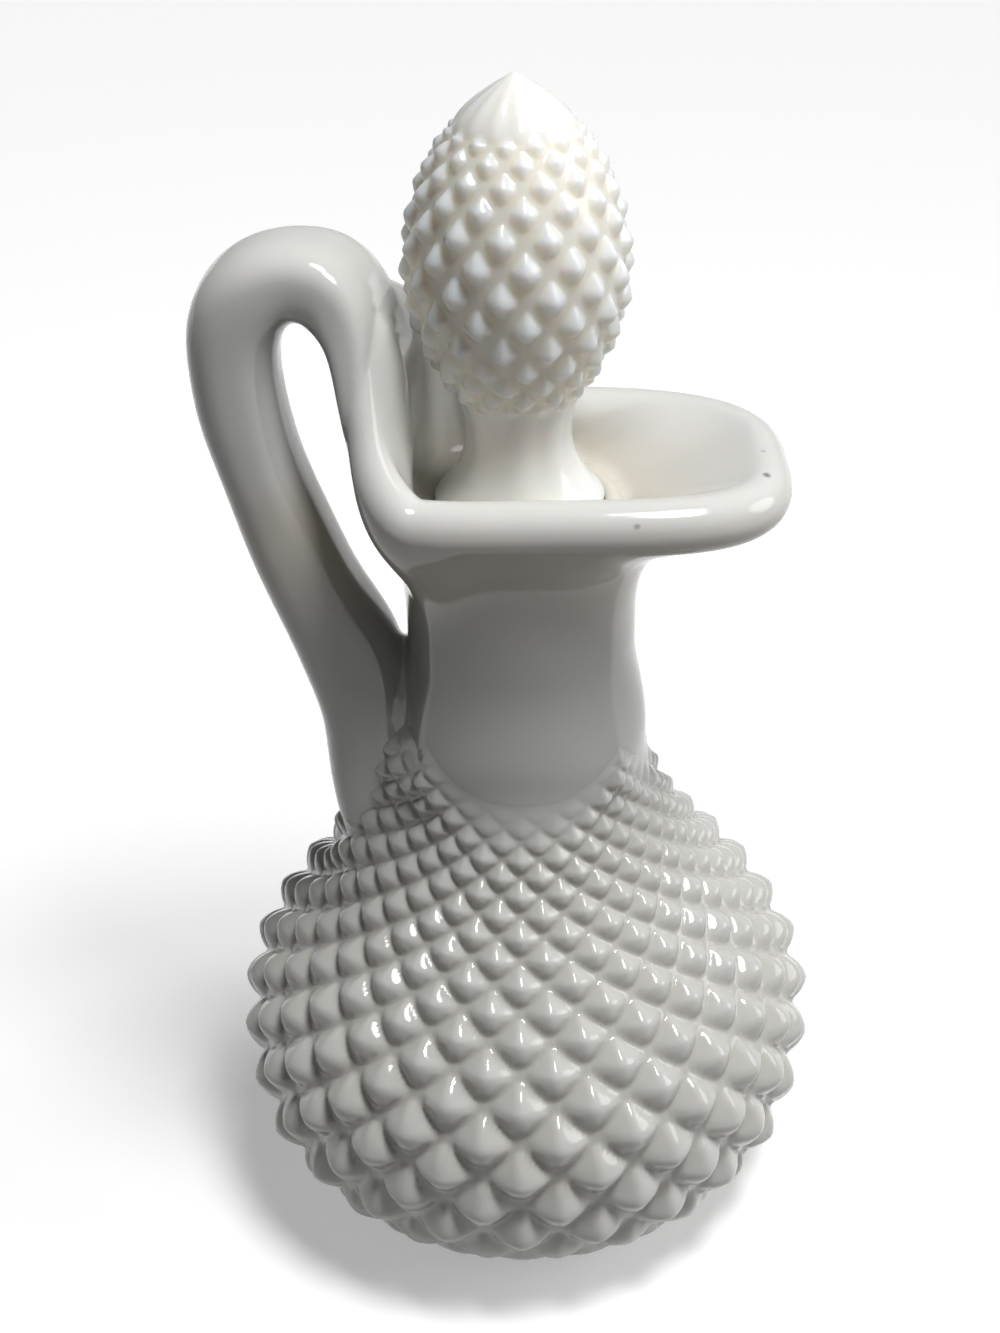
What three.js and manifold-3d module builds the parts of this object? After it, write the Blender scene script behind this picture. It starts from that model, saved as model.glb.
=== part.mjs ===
// Pressed milk-glass cruet with a hobnail bowl, a four-panelled neck, a pinched pouring lip,
// a high loop handle and a loose ground stopper with a hobnail finial.
// Millimetres, +Z up. The origin is the middle of the flat foot, +X is the spout, -X the handle.
import * as THREE from 'three';
import { mergeVertices } from 'three/addons/utils/BufferGeometryUtils.js';
import Module from 'manifold-3d';

const wasm = await Module();
wasm.setup();

// Bowl
const BOWL_RADIUS = 38; // to the valleys between the hobs, at the widest place
const BOWL_WAIST_HEIGHT = 26; // height of the widest place above the foot
const BOWL_UNDER = 30.6; // lower half axis of the bowl, longer than its height so that the foot is cut flat
const BOWL_WALL = 4;
const BOWL_FLOOR = 6;
const SHOULDER_RISE = 16; // reach of the round side above the widest place
const SHOULDER_SWEEP = 21; // reach of the hollow sweep below the neck
const HOB_COLUMNS = 24;
const HOB_TURN = -1.5; // degrees
const HOB_RISE = 0.087; // height of a hob as a share of the radius where it stands
const LOW_ROW_STEP = 0.15; // half of a row as a share of the radius, below the widest place
const HIGH_ROW_STEP = 0.126; // the same above it
const ROW_OFFSET = 0.4; // of a half row, from the widest place up to the first row of valleys
const BOWL_FULLNESS = 2.5; // of its underside: 2 is an ellipse, more is fuller
const FOOT_RADIUS = 25.5;
const FOOT_BAND = 1.5; // least height of the plain band between foot and hobs
const TIP_CLEAR = 1; // least height of a hob's tip above the foot
const NECK_BAND = 0.6; // least height of the plain band between hobs and neck

// Neck
const NECK_START = 65; // height of the flat face between bowl and neck
const BULGE_RISE = 8; // from there up to the neck's widest place
const WAIST_RISE = 13; // and on to its narrowest place
const NECK_BULGE = NECK_START + BULGE_RISE;
const NECK_WAIST = NECK_BULGE + WAIST_RISE;
const NECK_BULGE_RADIUS = 16.1;
const NECK_PINCH = 1.7; // how much smaller the radius is at the narrowest place
const NECK_WAIST_RADIUS = NECK_BULGE_RADIUS - NECK_PINCH;
const NECK_RINGS = 6;
const PANEL_EDGE = 0.07; // how far the four upright edges stand out, as a share of the radius

// Pouring lip
const FLARE_GAP = 4; // from the narrowest place up to where the neck starts to open
const FLARE_START = NECK_WAIST + FLARE_GAP;
const FLARE_RISE = 13; // reach of the curve that leaves the neck upright
const FLARE_RISE_LOSS = 4; // how much less that is at the front and the back
const LIP_GAP = 4; // from there up to the flat face between neck and lip
const LIP_START = FLARE_START + LIP_GAP;
const TROUGH_RISE = 9.5; // from that face up to the floor of the trough
const TROUGH_DEPTH = 5.3; // from the floor up to the middle of the rolled rim
const TROUGH_FLOOR = LIP_START + TROUGH_RISE;
const TROUGH_FALL = 0.7; // share of its depth over which the trough leaves the roll upright
const RIM_HEIGHT = TROUGH_FLOOR + TROUGH_DEPTH;
const RIM_ROLL = 3.3; // radius of the roll
const UNDER_ROLL = -70; // degrees round the roll, from its outer side, where the flare meets it
const UNDER_ROLL_SIDE = 35; // how much further up that is at the front and the back
const UNDER_ROLL_WALL = 65; // and in the handle's wall
const FLARE_SINK = 0.8; // how far below the roll the flare's last reach lies
const FLARE_SINK_SIDE = 5; // how much further that is at the front and the back
const FLARE_DROP = 0.5; // share of the way in height over which it rises upright in the handle's wall
const OVER_ROLL = 190; // the same where the trough leaves it
const ROLL_RINGS = 9;
const SPOUT_REACH = 28.9; // from the axis to the middle of the roll
const LIP_HALF_WIDTH = 16;
const LIP_BACK = 17.2;
const LIP_SQUARENESS = 4; // exponent of the lip's rounded outline on the handle's side
const SPOUT_SQUARENESS = 3.3; // the same for the spout
const SPOUT_SKEW = 0.55; // how much squarer the spout's front corner is than its back one
const SPOUT_LEAN = 0.9; // how far the spout's end leans to the front
const LIP_SWEEP = 0.6; // share of the way in plan over which the trough runs level
const WALL_RISE = 20; // how far the rim climbs as a wall that runs into the handle
const WALL_TOP = 10; // degrees each side of the handle where the wall is at its highest
const WALL_FRONT_END = 56; // degrees from the handle where the rim is level again, on the front side
const WALL_BACK_END = 110; // the same on the back side, where the wall falls off more gently
// Where the lip is the handle's wall it leans with the handle, is thinner and slopes to the seat
const WALL_SKEW = 0.12; // shift towards the spout for each millimetre to the back
const SKEW_END = 75; // degrees from the handle's side
const SKEW_FADE = 35;
const WALL_THINNING = 0.36; // share that the roll loses where the rim climbs
const THIN_START = 1; // height above the rim
const THIN_RISE = 9;
const WALL_OVER_ROLL = 50; // degrees that the roll turns less
const SLOPE_END = 80; // degrees from the handle's side
const SLOPE_FADE = 45;
const WALL_SLOPE = 0.35; // share of the way over which the surface goes on as it leaves the roll
const WALL_SWEEP_LOSS = 0.2; // how much less it runs level before the seat
const WALL_ARRIVAL = 0.1; // share of its depth from which it falls to the seat
// At the spout the trough is a shelf that leaves the roll at its top and falls close to the seat
const SHELF_START = 0.35; // least cosine of the angle from the spout
const SHELF_FADE = 0.5;
const SHELF_OVER_ROLL = 75; // degrees that the roll turns less
const SHELF_SLOPE = 0.5;
const SHELF_SWEEP_LOSS = 0.4;
const SHELF_ARRIVAL = 0.35;

// Stopper, from the lower end of its plug up to its tip, and the bead round its seat
const PLUG_TOP = TROUGH_FLOOR;
const PLUG_LENGTH = 23.5;
const PLUG_END = PLUG_TOP - PLUG_LENGTH;
const PLUG_END_RADIUS = 8.4;
const PLUG_TOP_RADIUS = 9.7;
const PLUG_CHAMFER = 0.6;
const PLUG_CLEARANCE = 0.3;
const SKIRT_RADIUS = 10.3;
const SKIRT_RISE = 2.1;
const SKIRT_HEIGHT = PLUG_TOP + SKIRT_RISE;
const SKIRT_SWEEP = 2; // reach of the hollow curve above the skirt, out and up
const BEAD_WIDTH = 2.2; // of the rounded bead that the skirt sits in
const BEAD_RISE = 1.8; // above the floor of the trough
const SHANK_RADIUS = 6.2;
const SHANK_RISE = 8.1; // from the skirt up to the thinnest place
const SHANK_HEIGHT = SKIRT_HEIGHT + SHANK_RISE;
const SHANK_SWEEP = 3; // reach of the same curve below the thinnest place
const SHANK_RINGS = 8;
const SHANK_FLARE = 4.3; // from the thinnest place up to the finial
const FINIAL_START = SHANK_HEIGHT + SHANK_FLARE;
const FINIAL_START_RADIUS = 6.9;
const FINIAL_RADIUS = 12.2; // to the valleys between its hobs
const FINIAL_LOW_LENGTH = 16; // below its widest place
const FINIAL_HIGH_LENGTH = 15.5; // from there up to the cap
const FINIAL_MIDDLE = FINIAL_START + FINIAL_LOW_LENGTH;
const START_SWEEP_OUT = 1; // reach of its outline where it leaves the shank
const START_SWEEP_UP = 3;
const LOW_BELLY_SWEEP = 8; // reach below its widest place
const HIGH_BELLY_SWEEP = 7.5; // and above it
const CAP_SWEEP_OUT = 2.1; // reach where it runs into the cap
const CAP_SWEEP_DOWN = 2.5;
const FINIAL_COLUMNS = 14;
const FINIAL_TURN = 4.5; // degrees
const FINIAL_ROW_STEP = 0.265; // half of a row as a share of the radius
const FINIAL_ROW_OFFSET = 0.5; // of a half row, from the start up to the first row of valleys
const FINIAL_HOB_RISE = 0.12; // height of a hob as a share of the radius
const FINIAL_BAND = 0.8; // least height of the plain bands below and above its hobs
const CAP_START = FINIAL_MIDDLE + FINIAL_HIGH_LENGTH;
const CAP_START_RADIUS = 6.9;
const CAP_OVERLAP = 1;
const CAP_RINGS = 6;
const CAP_FULLNESS = 1.55; // 1 makes the cap a straight cone
const CAP_HEIGHT = 6;
const TIP_HEIGHT = CAP_START + CAP_HEIGHT;

// Handle, from its root in the lip's wall over the arch and down to its foot in the shoulder
const HANDLE_OFFSET = 0.6; // from the neck's widest place out to the upright part of its middle line
const HANDLE_START = NECK_BULGE_RADIUS + HANDLE_OFFSET;
const HANDLE_REACH = 32.8; // farthest distance of its middle line from the axis
const HANDLE_SINK = 12; // how far its foot runs down into the bowl's shoulder
const HANDLE_RISE = 24.5; // height of its middle line above the rim
const HANDLE_FOOT = NECK_START - HANDLE_SINK;
const HANDLE_TOP = RIM_HEIGHT + HANDLE_RISE;
const HANDLE_THICKNESS = 6.3; // half of the greatest thickness, in the plane of the spout
const HANDLE_HALF_WIDTH = 7; // at the arch
// Stations as shares: from start to reach, from foot to top, of the thickness, of the width, which
// is greater where the handle grows out of the lip's wall and where its foot spreads; last the
// degrees by which the section is turned, front side outwards
const HANDLE_STATIONS = [
  [-0.205, 0.56, 0.254, 0.571, 10],
  [-0.143, 0.641, 0.254, 1, 11],
  [-0.081, 0.716, 0.27, 1.429, 11],
  [-0.031, 0.797, 0.286, 1.657, 11],
  [0.019, 0.878, 0.365, 1.543, 11],
  [0.112, 0.945, 0.54, 1.314, 7],
  [0.298, 0.989, 0.73, 1.114, 2],
  [0.534, 1, 0.746, 1, 0],
  [0.77, 0.984, 0.81, 1, 0],
  [0.938, 0.944, 0.857, 1, 0],
  [1, 0.877, 0.825, 0.986, 0],
  [0.975, 0.802, 0.81, 0.986, 0],
  [0.882, 0.712, 0.778, 0.986, 0],
  [0.689, 0.58, 0.841, 0.986, 0],
  [0.503, 0.478, 0.889, 0.986, 0],
  [0.304, 0.38, 1, 0.986, 0],
  [0.205, 0.283, 0.952, 1.014, 0],
  [0.18, 0.184, 0.937, 1.114, 0],
  [0.186, 0.086, 0.921, 1.243, 0],
  [0.211, 0, 0.921, 1.314, 0],
];
const HANDLE_SQUARENESS = 2.8;
const TWISTED_SQUARENESS = 0.1; // more for each degree of turn
const HANDLE_STEPS = 44;
const HANDLE_SIDES = 20;
// Flat faces between the handle and the rest: above the rim, and behind the neck below the finger gap
const ROOT_RISE = 6.2;
const BACK_GAP = 0.4;
const HANDLE_ROOT = RIM_HEIGHT + ROOT_RISE;
const HANDLE_BACK = NECK_BULGE_RADIUS + BACK_GAP;
// Between those two the boundary leans out through the finger gap, clear of the lip's wall
const GAP_RISE = 3; // from the neck's narrowest place up to where the boundary leaves the glass
const WALL_GAP = 1; // between the lip's wall and the boundary
const FINGER_GAP_LOW = NECK_WAIST + GAP_RISE;
const FINGER_GAP_X = LIP_BACK + RIM_ROLL + WALL_GAP;

const ROUND_SIDES = 48;
const RADIANS = Math.PI / 180;

const milkGlass = () => new THREE.MeshStandardMaterial({ color: 0xe9e8e2, roughness: 0.12, metalness: 0 });

// Turns a list of corners and a list of triangles into a solid.
function solid(points, triangles) {
  const geometry = new THREE.BufferGeometry();
  geometry.setAttribute('position', new THREE.Float32BufferAttribute(points.flat(), 3));
  geometry.setIndex(triangles.flat());
  return solidOf(geometry);
}

function solidOf(geometry) {
  geometry.deleteAttribute('normal');
  geometry.deleteAttribute('uv');
  const merged = mergeVertices(geometry, 1e-4);
  const vertProperties = new Float32Array(merged.attributes.position.array);
  const triVerts = new Uint32Array(merged.index.array);
  return new wasm.Manifold(new wasm.Mesh({ numProp: 3, vertProperties, triVerts }));
}

function namedMesh(name, manifold) {
  const { vertProperties, triVerts } = manifold.getMesh();
  const geometry = new THREE.BufferGeometry();
  geometry.setAttribute('position', new THREE.BufferAttribute(vertProperties, 3));
  geometry.setIndex(new THREE.BufferAttribute(triVerts, 1));
  geometry.computeVertexNormals();
  const mesh = new THREE.Mesh(geometry, milkGlass());
  mesh.name = name;
  return mesh;
}

// Skins a stack of closed rings with the same number of points, and closes both ends with a fan.
// The rings run counter-clockwise seen from the far end of the stack.
function skin(rings) {
  const count = rings[0].length;
  const points = rings.flat();
  const triangles = [];
  for (let ring = 0; ring < rings.length - 1; ring += 1) {
    for (let i = 0; i < count; i += 1) {
      const j = (i + 1) % count;
      const [a, b] = [ring * count + i, ring * count + j];
      triangles.push([a, b, b + count], [a, b + count, a + count]);
    }
  }
  for (const [ring, flip] of [[0, true], [rings.length - 1, false]]) {
    const middle = points.length;
    points.push(centreOf(rings[ring]));
    for (let i = 0; i < count; i += 1) {
      const [a, b] = [ring * count + i, ring * count + ((i + 1) % count)];
      triangles.push(flip ? [b, a, middle] : [a, b, middle]);
    }
  }
  return solid(points, triangles);
}

function centreOf(ring) {
  const sum = ring.reduce((total, point) => total.map((value, axis) => value + point[axis]), [0, 0, 0]);
  return sum.map((value) => value / ring.length);
}

function lathe(profile) {
  const outline = profile.map(([radius, height]) => new THREE.Vector2(radius, height));
  const geometry = new THREE.LatheGeometry(outline, ROUND_SIDES);
  geometry.rotateX(Math.PI / 2);
  return solidOf(geometry);
}

function smoothStep(value) {
  return THREE.MathUtils.smoothstep(value, 0, 1);
}

function cubic(a, b, c, d, t) {
  const u = 1 - t;
  return u * u * u * a + 3 * u * u * t * b + 3 * u * t * t * c + t * t * t * d;
}

// Upper side of the bowl: one curve from the widest place, upright at both ends, into the neck.
function shoulderPoint(t) {
  return insetShoulderPoint(t, 0);
}

// The same curve moved in by a wall.
function insetShoulderPoint(t, inset) {
  const neckRadius = NECK_BULGE_RADIUS - inset;
  const bowlRadius = BOWL_RADIUS - inset;
  const radius = cubic(bowlRadius, bowlRadius, neckRadius, neckRadius, t);
  const low = BOWL_WAIST_HEIGHT;
  const height = cubic(low, low + SHOULDER_RISE, NECK_BULGE - SHOULDER_SWEEP, NECK_BULGE, t);
  return [radius, height];
}

// Lower side of the bowl: part of a superellipse, cut flat at the foot.
function underPoint(angle) {
  const [c, s] = [Math.cos(angle), Math.sin(angle)];
  const scale = (c ** BOWL_FULLNESS + s ** BOWL_FULLNESS) ** (-1 / BOWL_FULLNESS);
  return [BOWL_RADIUS * scale * c, BOWL_WAIST_HEIGHT - BOWL_UNDER * scale * s];
}

// Rows of valleys along a profile, from parameter 0 to end. The distance between two rows is a fixed
// share of the radius, and the first lies a part of that distance from the start.
function valleyRows(curve, end, step, first) {
  const samples = 500;
  const rows = [];
  let [radius, height] = curve(0);
  let travelled = 1 - first;
  for (let i = 1; i <= samples; i += 1) {
    const [nextRadius, nextHeight] = curve((end * i) / samples);
    travelled += Math.hypot(nextRadius - radius, nextHeight - height) / (step * radius);
    [radius, height] = [nextRadius, nextHeight];
    if (travelled >= rows.length + 1) rows.push([radius, height]);
  }
  return rows;
}

// Closed solid whose side is a lattice of four-sided pyramids standing on a profile.
// rows are [radius, height] pairs of the valley crossings from bottom to top, the crossings of one row
// lying midway between those of the next. foot and top are the plain rings that close the ends.
function hobSolid({ rows, columns, turn, rise, foot, top, odd }) {
  const points = [];
  const triangles = [];
  const put = (radius, height, angle) => {
    points.push([radius * Math.cos(angle), radius * Math.sin(angle), height]);
    return points.length - 1;
  };
  const shift = (row) => ((row + odd) % 2) / 2;
  const angleAt = (column, row) => (((column + shift(row)) * 360) / columns + turn - 90) * RADIANS;
  const ring = ([radius, height], row) => {
    return Array.from({ length: columns }, (_, column) => put(radius, height, angleAt(column, row)));
  };
  const valleys = rows.map(ring);
  const last = rows.length - 1;
  rows.forEach(([radius, height], row) => {
    const before = rows[Math.max(row - 1, 0)];
    const after = rows[Math.min(row + 1, last)];
    const length = Math.hypot(after[0] - before[0], after[1] - before[1]);
    const lift = rise * radius;
    const apexRadius = radius + (lift * (after[1] - before[1])) / length;
    const apexHeight = Math.max(height + (lift * (before[0] - after[0])) / length, foot[1] + TIP_CLEAR);
    for (let column = 0; column < columns; column += 1) {
      const right = (column + 1) % columns;
      const beside = shift(row) ? right : column;
      const [west, east] = [valleys[row][column], valleys[row][right]];
      if (row === 0) triangles.push([west, east, valleys[1][beside]]);
      else if (row === last) triangles.push([west, valleys[last - 1][beside], east]);
      else {
        const [south, north] = [valleys[row - 1][beside], valleys[row + 1][beside]];
        const apex = put(apexRadius, apexHeight, angleAt(column + 0.5, row));
        triangles.push([west, south, apex], [south, east, apex], [east, north, apex], [north, west, apex]);
      }
    }
  });
  const join = (lower, upper) => {
    lower.forEach((corner, i) => {
      const j = (i + 1) % columns;
      triangles.push([corner, lower[j], upper[j]], [corner, upper[j], upper[i]]);
    });
  };
  const close = (edge, height) => {
    const middle = put(0, height, 0);
    edge.forEach((corner, i) => triangles.push([corner, edge[(i + 1) % columns], middle]));
  };
  const footRing = ring(foot, 0);
  const topRing = ring(top, last);
  join(footRing, valleys[0]);
  join(valleys[last], topRing);
  close(footRing.toReversed(), foot[1]);
  close(topRing, top[1]);
  return solid(points, triangles);
}

// Bowl with all its hobs, from the foot to the flat face below the neck.
function bowlOutside() {
  const depth = (BOWL_WAIST_HEIGHT - FOOT_BAND) / BOWL_UNDER;
  const footAngle = Math.atan2(depth, (1 - depth ** BOWL_FULLNESS) ** (1 / BOWL_FULLNESS));
  const under = valleyRows(underPoint, footAngle, LOW_ROW_STEP, 1 - ROW_OFFSET).reverse();
  const over = valleyRows(shoulderPoint, 1, HIGH_ROW_STEP, ROW_OFFSET);
  const rows = [...under, ...over.filter(([, height]) => height < NECK_START - NECK_BAND)];
  return hobSolid({
    rows,
    columns: HOB_COLUMNS,
    turn: HOB_TURN,
    rise: HOB_RISE,
    foot: [FOOT_RADIUS, 0],
    top: [neckRadius(NECK_START), NECK_START],
    odd: under.length + 1,
  });
}

// Radius of the neck at the middle of a panel.
function neckRadius(height) {
  if (height < NECK_BULGE) {
    let [low, high] = [0.5, 1];
    for (let i = 0; i < 30; i += 1) {
      const middle = (low + high) / 2;
      if (shoulderPoint(middle)[1] < height) low = middle;
      else high = middle;
    }
    return shoulderPoint(low)[0];
  }
  const share = smoothStep((height - NECK_BULGE) / (NECK_WAIST - NECK_BULGE));
  return NECK_BULGE_RADIUS + (NECK_WAIST_RADIUS - NECK_BULGE_RADIUS) * share;
}

// Share by which the section stands out at an angle: nothing at a panel's middle, all at its edge.
function panelEdge(angle) {
  return 1 - Math.abs(Math.cos(2 * angle));
}

function neckPoint(angle, height) {
  const fade = smoothStep((height - NECK_START) / (NECK_BULGE - NECK_START));
  const radius = neckRadius(height) * (1 + PANEL_EDGE * fade * panelEdge(angle));
  return [radius * Math.cos(angle), radius * Math.sin(angle), height];
}

// Degrees from the side of the handle, 0 to 180.
function fromHandle(angle) {
  return Math.abs(THREE.MathUtils.euclideanModulo(angle / RADIANS, 360) - 180);
}

// 1 where the lip is the handle's sloping wall, 0 away from it.
function wallShare(angle) {
  return smoothStep((SLOPE_END - fromHandle(angle)) / SLOPE_FADE);
}

// 1 at the spout, where the trough is a shelf, 0 away from it.
function shelfShare(angle) {
  return smoothStep((Math.cos(angle) - SHELF_START) / SHELF_FADE);
}

// Middle of the rolled rim: a rounded outline in plan, longer towards the spout, that climbs
// towards the handle.
function rimMiddle(angle) {
  const [c, s] = [Math.cos(angle), Math.sin(angle)];
  const n = c > 0 ? SPOUT_SQUARENESS - SPOUT_SKEW * s : LIP_SQUARENESS;
  const reach = c > 0 ? SPOUT_REACH : LIP_BACK;
  const radius = (Math.abs(c / reach) ** n + Math.abs(s / LIP_HALF_WIDTH) ** n) ** (-1 / n);
  const lean = SPOUT_LEAN * Math.max((radius * c) / SPOUT_REACH, 0) ** 2;
  const away = fromHandle(angle);
  const end = s < 0 ? WALL_FRONT_END : WALL_BACK_END;
  const height = RIM_HEIGHT + WALL_RISE * smoothStep((end - away) / (end - WALL_TOP));
  const skew = smoothStep((SKEW_END - away) / SKEW_FADE) * WALL_SKEW * radius * s;
  return new THREE.Vector3(radius * c + skew, radius * s - lean, height);
}

// Point on the roll of the rim, in the section square to its middle line; turn 0 is its outer side,
// 90 degrees its top. The roll is thinner where the rim climbs.
function rimPoint(angle, turn) {
  const small = 0.01;
  const along = rimMiddle(angle + small).sub(rimMiddle(angle - small)).normalize();
  const out = new THREE.Vector3(along.y, -along.x, 0).normalize();
  const up = out.clone().cross(along);
  const point = rimMiddle(angle);
  const climbed = smoothStep((point.z - RIM_HEIGHT - THIN_START) / THIN_RISE);
  const roll = RIM_ROLL * (1 - WALL_THINNING * climbed);
  point.addScaledVector(out, roll * Math.cos(turn * RADIANS));
  return point.addScaledVector(up, roll * Math.sin(turn * RADIANS)).toArray();
}

// First turn of the roll, where the flare meets it.
function underRoll(angle) {
  return UNDER_ROLL + UNDER_ROLL_SIDE * Math.sin(angle) ** 2 + UNDER_ROLL_WALL * wallShare(angle);
}

// Last turn of the roll, from where the surface falls into the trough.
function overRoll(angle) {
  return OVER_ROLL - WALL_OVER_ROLL * wallShare(angle) - SHELF_OVER_ROLL * shelfShare(angle);
}

// Offset from one point towards another, of a length that is a share of the way from start to end.
function towards(from, to, share, start, end) {
  const step = to.map((value, axis) => value - from[axis]);
  const way = Math.hypot(...end.map((value, axis) => value - start[axis]));
  return step.map((value) => (value * share * way) / Math.hypot(...step));
}

function between(start, leave, arrive, end, t) {
  return start.map((value, axis) => {
    return cubic(value, value + leave[axis], end[axis] + arrive[axis], end[axis], t);
  });
}

// Neck and lip as one stack of rings: up the panels, out to the rim, over it and down into the trough.
function neckAndLip() {
  const angles = Array.from({ length: ROUND_SIDES }, (_, i) => ((i + 0.5) / ROUND_SIDES) * 2 * Math.PI);
  const rings = [];
  const addRings = (count, pointAt) => {
    for (let i = 1; i <= count; i += 1) rings.push(angles.map((angle) => pointAt(angle, i / count)));
  };
  const neckRise = FLARE_START - NECK_START;
  for (let i = -1; i <= NECK_RINGS; i += 1) {
    rings.push(angles.map((angle) => neckPoint(angle, NECK_START + (neckRise * i) / NECK_RINGS)));
  }
  addRings(5, (angle, t) => {
    const start = neckPoint(angle, FLARE_START);
    const end = rimPoint(angle, underRoll(angle));
    const [side, wall] = [Math.sin(angle) ** 2, wallShare(angle)];
    const sweep = LIP_SWEEP * (1 - wall);
    const arrive = start.map((value, axis) => (value - end[axis]) * [sweep, sweep, FLARE_DROP * wall][axis]);
    arrive[2] -= (FLARE_SINK + FLARE_SINK_SIDE * side) * (1 - wall);
    return between(start, [0, 0, FLARE_RISE - FLARE_RISE_LOSS * side], arrive, end, t);
  });
  addRings(ROLL_RINGS, (angle, t) => {
    const first = underRoll(angle);
    return rimPoint(angle, first + (overRoll(angle) - first) * t);
  });
  const seat = SKIRT_RADIUS + PLUG_CLEARANCE;
  const bead = seat + BEAD_WIDTH;
  addRings(4, (angle, t) => {
    const start = rimPoint(angle, overRoll(angle));
    const end = [bead * Math.cos(angle), bead * Math.sin(angle), TROUGH_FLOOR];
    const [wall, shelf] = [wallShare(angle), shelfShare(angle)];
    const fall = (end[2] - start[2]) * TROUGH_FALL * (1 - wall - shelf);
    const next = rimPoint(angle, overRoll(angle) + 1);
    const leave = towards(start, next, WALL_SLOPE * wall + SHELF_SLOPE * shelf, start, end);
    leave[2] += fall;
    const sweep = LIP_SWEEP - WALL_SWEEP_LOSS * wall - SHELF_SWEEP_LOSS * shelf;
    const arrival = WALL_ARRIVAL * wall + SHELF_ARRIVAL * shelf;
    const arrive = start.map((value, axis) => (value - end[axis]) * [sweep, sweep, arrival][axis]);
    return between(start, leave, arrive, end, t);
  });
  addRings(5, (angle, t) => {
    const radius = bead - BEAD_WIDTH * t;
    const height = TROUGH_FLOOR + BEAD_RISE * Math.sqrt(1 - (1.5 * t - 1) ** 2);
    return [radius * Math.cos(angle), radius * Math.sin(angle), height];
  });
  return skin(rings);
}

// Handle as a stack of rounded sections along its middle line.
function handleSweep() {
  const height = HANDLE_TOP - HANDLE_FOOT;
  const span = HANDLE_REACH - HANDLE_START;
  const stations = HANDLE_STATIONS.map(([out, up]) => {
    return new THREE.Vector3(-HANDLE_START - out * span, 0, HANDLE_FOOT + up * height);
  });
  const sizes = HANDLE_STATIONS.map(([, , thick, wide, twist]) => {
    return new THREE.Vector3(thick * HANDLE_THICKNESS, wide * HANDLE_HALF_WIDTH, twist);
  });
  const path = new THREE.CatmullRomCurve3(stations, false, 'centripetal');
  const sizePath = new THREE.CatmullRomCurve3(sizes, false, 'catmullrom');
  const rings = [];
  for (let step = 0; step <= HANDLE_STEPS; step += 1) {
    const t = step / HANDLE_STEPS;
    const middle = path.getPoint(t);
    const along = path.getTangent(t);
    const { x: thick, y: wide, z: twist } = sizePath.getPoint(t);
    const n = HANDLE_SQUARENESS + TWISTED_SQUARENESS * Math.max(twist, 0);
    const turn = twist * RADIANS;
    rings.push(Array.from({ length: HANDLE_SIDES }, (_, side) => {
      const angle = (side / HANDLE_SIDES) * 2 * Math.PI;
      const [c, s] = [Math.cos(angle), Math.sin(angle)];
      const radius = (Math.abs(c) ** n + Math.abs(s) ** n) ** (-1 / n);
      const [flat, edge] = [radius * c * thick, radius * s * wide];
      const across = flat * Math.cos(turn) + edge * Math.sin(turn);
      const sideways = edge * Math.cos(turn) - flat * Math.sin(turn);
      return [middle.x + across * along.z, sideways, middle.z - across * along.x];
    }));
  }
  return skin(rings);
}

// The room for liquid and the ground bore, as one turned shape that opens into the trough.
function inside() {
  const under = [];
  for (let i = 0; i <= 8; i += 1) {
    const angle = (1 - i / 8) * Math.asin((BOWL_WAIST_HEIGHT - BOWL_FLOOR) / (BOWL_UNDER - BOWL_WALL));
    const radius = (BOWL_RADIUS - BOWL_WALL) * Math.cos(angle);
    under.push([radius, BOWL_WAIST_HEIGHT - (BOWL_UNDER - BOWL_WALL) * Math.sin(angle)]);
  }
  const boreRadius = PLUG_END_RADIUS + PLUG_CLEARANCE;
  const over = [];
  for (let i = 1; i <= 10; i += 1) {
    const [radius, height] = insetShoulderPoint(i / 10, BOWL_WALL);
    const squeeze = (radius - (NECK_BULGE_RADIUS - BOWL_WALL)) / (BOWL_RADIUS - NECK_BULGE_RADIUS);
    over.push([boreRadius + squeeze * (BOWL_RADIUS - BOWL_WALL - boreRadius), height - BOWL_WALL * (i / 10)]);
  }
  const mouth = [
    [boreRadius, PLUG_END],
    [PLUG_TOP_RADIUS + PLUG_CLEARANCE, PLUG_TOP],
    [SKIRT_RADIUS + PLUG_CLEARANCE, SKIRT_HEIGHT],
    [SKIRT_RADIUS + PLUG_CLEARANCE, TIP_HEIGHT],
    [0, TIP_HEIGHT],
  ];
  return lathe([[0, BOWL_FLOOR], ...under, ...over, ...mouth]);
}

// A block of space in front of and behind the middle plane, given by its outline seen from the side.
function block(outline) {
  const depth = 4 * BOWL_RADIUS;
  const shape = new THREE.Shape(outline.map(([x, z]) => new THREE.Vector2(x, z)));
  const geometry = new THREE.ExtrudeGeometry(shape, { depth, bevelEnabled: false });
  geometry.rotateX(Math.PI / 2);
  geometry.translate(0, depth / 2, 0);
  return solidOf(geometry);
}

function slab(low, high) {
  const side = 4 * BOWL_RADIUS;
  return block([[-side, low], [side, low], [side, high], [-side, high]]);
}

// Space that belongs to the handle: beside the neck, up the finger gap and above the lip's wall.
function handleSpace() {
  const side = 4 * BOWL_RADIUS;
  return block([
    [-side, NECK_START],
    [-HANDLE_BACK, NECK_START],
    [-HANDLE_BACK, FINGER_GAP_LOW],
    [-FINGER_GAP_X, RIM_HEIGHT],
    [-FINGER_GAP_X, HANDLE_ROOT],
    [0, HANDLE_ROOT],
    [0, 2 * TIP_HEIGHT],
    [-side, 2 * TIP_HEIGHT],
  ]);
}

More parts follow.
